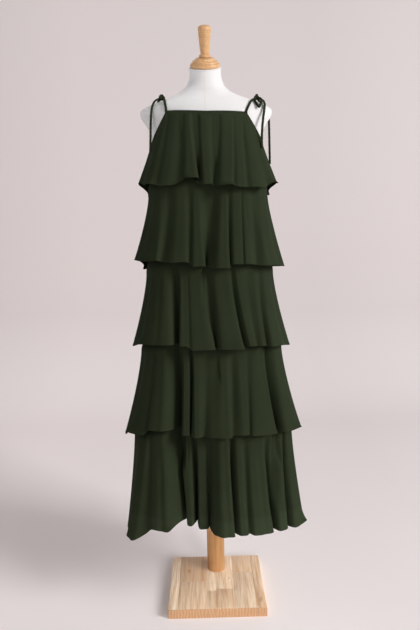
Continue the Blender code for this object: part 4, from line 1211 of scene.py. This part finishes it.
def cover_finish():
    """White jersey drawn tight over the form, its knit faintly raised, with a seam down the front."""
    finish = Finish("form_cover", 0.75, Sheen_Weight=0.45, Sheen_Roughness=0.6, Specular_IOR_Level=0.3)
    colour = finish.tones(finish.noise(7.0), (0.3, (214, 212, 212)), (0.7, (221, 219, 220)))
    axes = finish.axes()
    beside = finish.math('ABSOLUTE', finish.math('SUBTRACT', axes["X"], SEAM_PLACE))
    seam = finish.math('MULTIPLY', finish.math('SUBTRACT', SEAM_HALF, beside), SEAM_EDGE, clamp=True)
    seam = finish.math('MULTIPLY', seam, finish.math('LESS_THAN', axes["Y"], 0.0))
    colour = finish.mix(finish.math('MULTIPLY', seam, 0.35), colour, linear(206, 190, 172))
    knit = finish.noise(1.0, (1400.0, 1400.0, 700.0), detail=1.0)
    return finish.done(colour, finish.bump(knit, 0.25, 0.0003))


def wood_finish():
    """Turned beech with fine grain along its length, short dark flecks, and tool lines round the neck."""
    finish = Finish("turned_wood", 0.38)
    grain = finish.noise(1.0, (160.0, 160.0, 7.0), detail=5.0, roughness=0.6)
    colour = finish.tones(grain, (0.25, (178, 130, 82)), (0.55, (201, 153, 104)), (0.8, (214, 171, 122)))
    flecks = finish.noise(1.0, (700.0, 700.0, 60.0), detail=2.0)
    colour = finish.mix(finish.fade(flecks, 0.62, 0.75, 0.35), colour, linear(140, 95, 58))
    on_neck = finish.math('GREATER_THAN', finish.axes()["Z"], NECK_WOOD_LOW)
    upright = finish.add("ShaderNodeVectorRotate", rotation_type='X_AXIS', Angle=-math.radians(NECK_TILT))
    finish.link(finish.place, upright.inputs["Vector"])
    finish.place = upright.outputs["Vector"]
    lines = finish.noise(1.0, (3.0, 3.0, 620.0), detail=2.0)
    light = finish.fade(lines, 0.42, 0.70, 0.7)
    colour = finish.mix(finish.math('MULTIPLY', light, on_neck), colour, linear(218, 188, 146))
    normal = finish.bump(finish.math('MULTIPLY', lines, on_neck), 0.25, 0.0004)
    return finish.done(colour, finish.bump(grain, 0.12, 0.0004, normal))


def board_finish():
    """Staves of pale wood: each has its own tone, and its grain runs front to back."""
    finish = Finish("board_wood", 0.55)
    tone, shift = (finish.add("ShaderNodeAttribute", attribute_name=name).outputs["Fac"]
                   for name in ("tone", "shift"))
    outer = finish.math('ABSOLUTE', finish.axes()["Y"])
    outer = finish.math('SUBTRACT', outer, 0.5 * BOARD_SIDE - END_GRAIN_DEEP)
    end_grain = finish.math('MULTIPLY', outer, END_GRAIN_EDGE, clamp=True)
    moved = finish.add("ShaderNodeCombineXYZ")
    finish.link(finish.math('MULTIPLY', shift, 3.7), moved.inputs["X"])
    finish.link(finish.math('MULTIPLY', shift, 1.9), moved.inputs["Y"])
    placed = finish.add("ShaderNodeVectorMath", operation='ADD')
    finish.put(placed.inputs, (finish.place, moved.outputs[0]))
    finish.place = placed.outputs[0]
    grain = finish.noise(1.0, (210.0, 9.0, 130.0), detail=5.0, roughness=0.6)
    base = finish.tones(tone, (0.0, (208, 182, 156)), (0.5, (250, 222, 190)), (1.0, (255, 242, 220)))
    colour = finish.mix(finish.fade(grain, 0.36, 0.66, 0.75), base, linear(210, 160, 110))
    darker = finish.noise(1.0, (60.0, 3.0, 60.0), detail=2.0)
    colour = finish.mix(finish.fade(darker, 0.60, 0.72, 0.45), colour, linear(186, 128, 84))
    knots = finish.noise(26.0, (1.0, 0.45, 1.0), detail=2.0)
    colour = finish.mix(finish.fade(knots, 0.70, 0.76, 0.5), colour, linear(160, 108, 68))
    arcs = finish.add("ShaderNodeTexWave", wave_type='RINGS', rings_direction='Y', Scale=34.0,
                      Distortion=5.0, Detail=2.0, Detail_Scale=1.2)
    finish.link(finish.place, arcs.inputs["Vector"])
    rings = finish.tones(arcs.outputs["Fac"], (0.2, (150, 104, 70)), (0.8, (206, 168, 130)))
    colour = finish.mix(end_grain, colour, finish.mix(0.7, rings, linear(190, 146, 106)))
    return finish.done(colour, finish.bump(grain, 0.15, 0.0004))


def stage_finish():
    """A pale studio wall and floor, with painted shade darkening them towards the right, where the key
    light falls strongest, and faintly cloudy.
    """
    finish = Finish("studio", 0.9)
    axes = finish.axes()
    # Painted shade: the wall and floor get darker towards the right, against the stronger key light there
    across = finish.math('ADD', finish.math('MULTIPLY', axes["X"], SIDEWAYS_PAINTED_SHADE), 0.5)
    across = finish.math('ADD', across, finish.math('MULTIPLY', finish.noise(1.2, detail=2.0), 0.06))
    wall = finish.tones(across, (0.0, (237, 228, 227)), (1.0, (217, 209, 209)))
    floor = finish.tones(across, (0.0, (255, 247, 246)), (1.0, (232, 225, 225)))
    rise = finish.math('MULTIPLY', axes["Z"], WALL_SHADE, clamp=True)
    return finish.done(finish.mix(rise, floor, wall))


# Studio
def add_studio():
    """A pale floor that curves up into a backdrop, a large key light and three weaker ones."""
    angles = np.linspace(0.1, 0.5 * math.pi, 14)
    bend = [(STAGE_BEND + BEND_RADIUS * math.sin(angle), BEND_RADIUS * (1.0 - math.cos(angle)))
            for angle in angles]
    wall_top = (STAGE_BEND + BEND_RADIUS, STAGE_HIGH)
    profile = [(STAGE_FRONT, 0.0), (STAGE_BEND, 0.0)] + bend + [wall_top]
    points = [(x, y, z) for y, z in profile for x in (-STAGE_HALF, STAGE_HALF)]
    faces = [(2 * row, 2 * row + 1, 2 * row + 3, 2 * row + 2) for row in range(len(profile) - 1)]
    floor = object_from("studio_floor", points, faces, stage_finish())
    for light in LIGHTS:
        add_light(light)
    world = bpy.data.worlds.new("studio")
    bpy.context.scene.world = world
    world.use_nodes = True
    background = world.node_tree.nodes["Background"]
    background.inputs["Color"].default_value = linear(*WORLD_COLOUR)
    background.inputs["Strength"].default_value = WORLD_STRENGTH


def add_light(light):
    data = bpy.data.lights.new(light.name, 'AREA')
    data.size = light.size
    data.energy = light.power
    data.spread = math.radians(light.spread)
    data.color = light.colour
    item = linked(light.name, data)
    item.location = light.place
    item.rotation_euler = (Vector(light.aim) - Vector(light.place)).to_track_quat('-Z', 'Y').to_euler()


def add_camera():
    """The photograph's view: a camera a little above the waist, tilted down."""
    right = Vector((math.cos(CAMERA_YAW), math.sin(CAMERA_YAW), 0.0))
    ahead = Vector((-math.sin(CAMERA_YAW), math.cos(CAMERA_YAW), 0.0))
    up = Vector((0.0, 0.0, 1.0))
    forward = ahead * math.cos(CAMERA_PITCH) - up * math.sin(CAMERA_PITCH)
    above = up * math.cos(CAMERA_PITCH) + ahead * math.sin(CAMERA_PITCH)
    across = right * math.cos(CAMERA_ROLL) - above * math.sin(CAMERA_ROLL)
    upright = right * math.sin(CAMERA_ROLL) + above * math.cos(CAMERA_ROLL)
    camera = bpy.data.cameras.new("camera")
    camera.sensor_width = SENSOR
    camera.lens = FOCAL_PIXELS * SENSOR / IMAGE_HEIGHT
    item = linked("camera", camera)
    turn = Matrix((across, upright, -forward)).transposed().to_4x4()
    item.matrix_world = Matrix.Translation(CAMERA_PLACE) @ turn
    bpy.context.scene.camera = item


def main():
    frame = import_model()
    add_camera()
    chiffon = chiffon_finish()
    add_ties(frame["nodes"]["dress_form"], chiffon)
    cover = cover_finish()
    add_form(cover)
    add_neck_rim(cover)
    add_lining(lining_finish())
    add_tiers(chiffon)
    add_bindings(chiffon)
    add_wood(wood_finish())
    add_board(board_finish())
    add_studio()
    bpy.context.scene.view_settings.view_transform = 'Standard'


main()
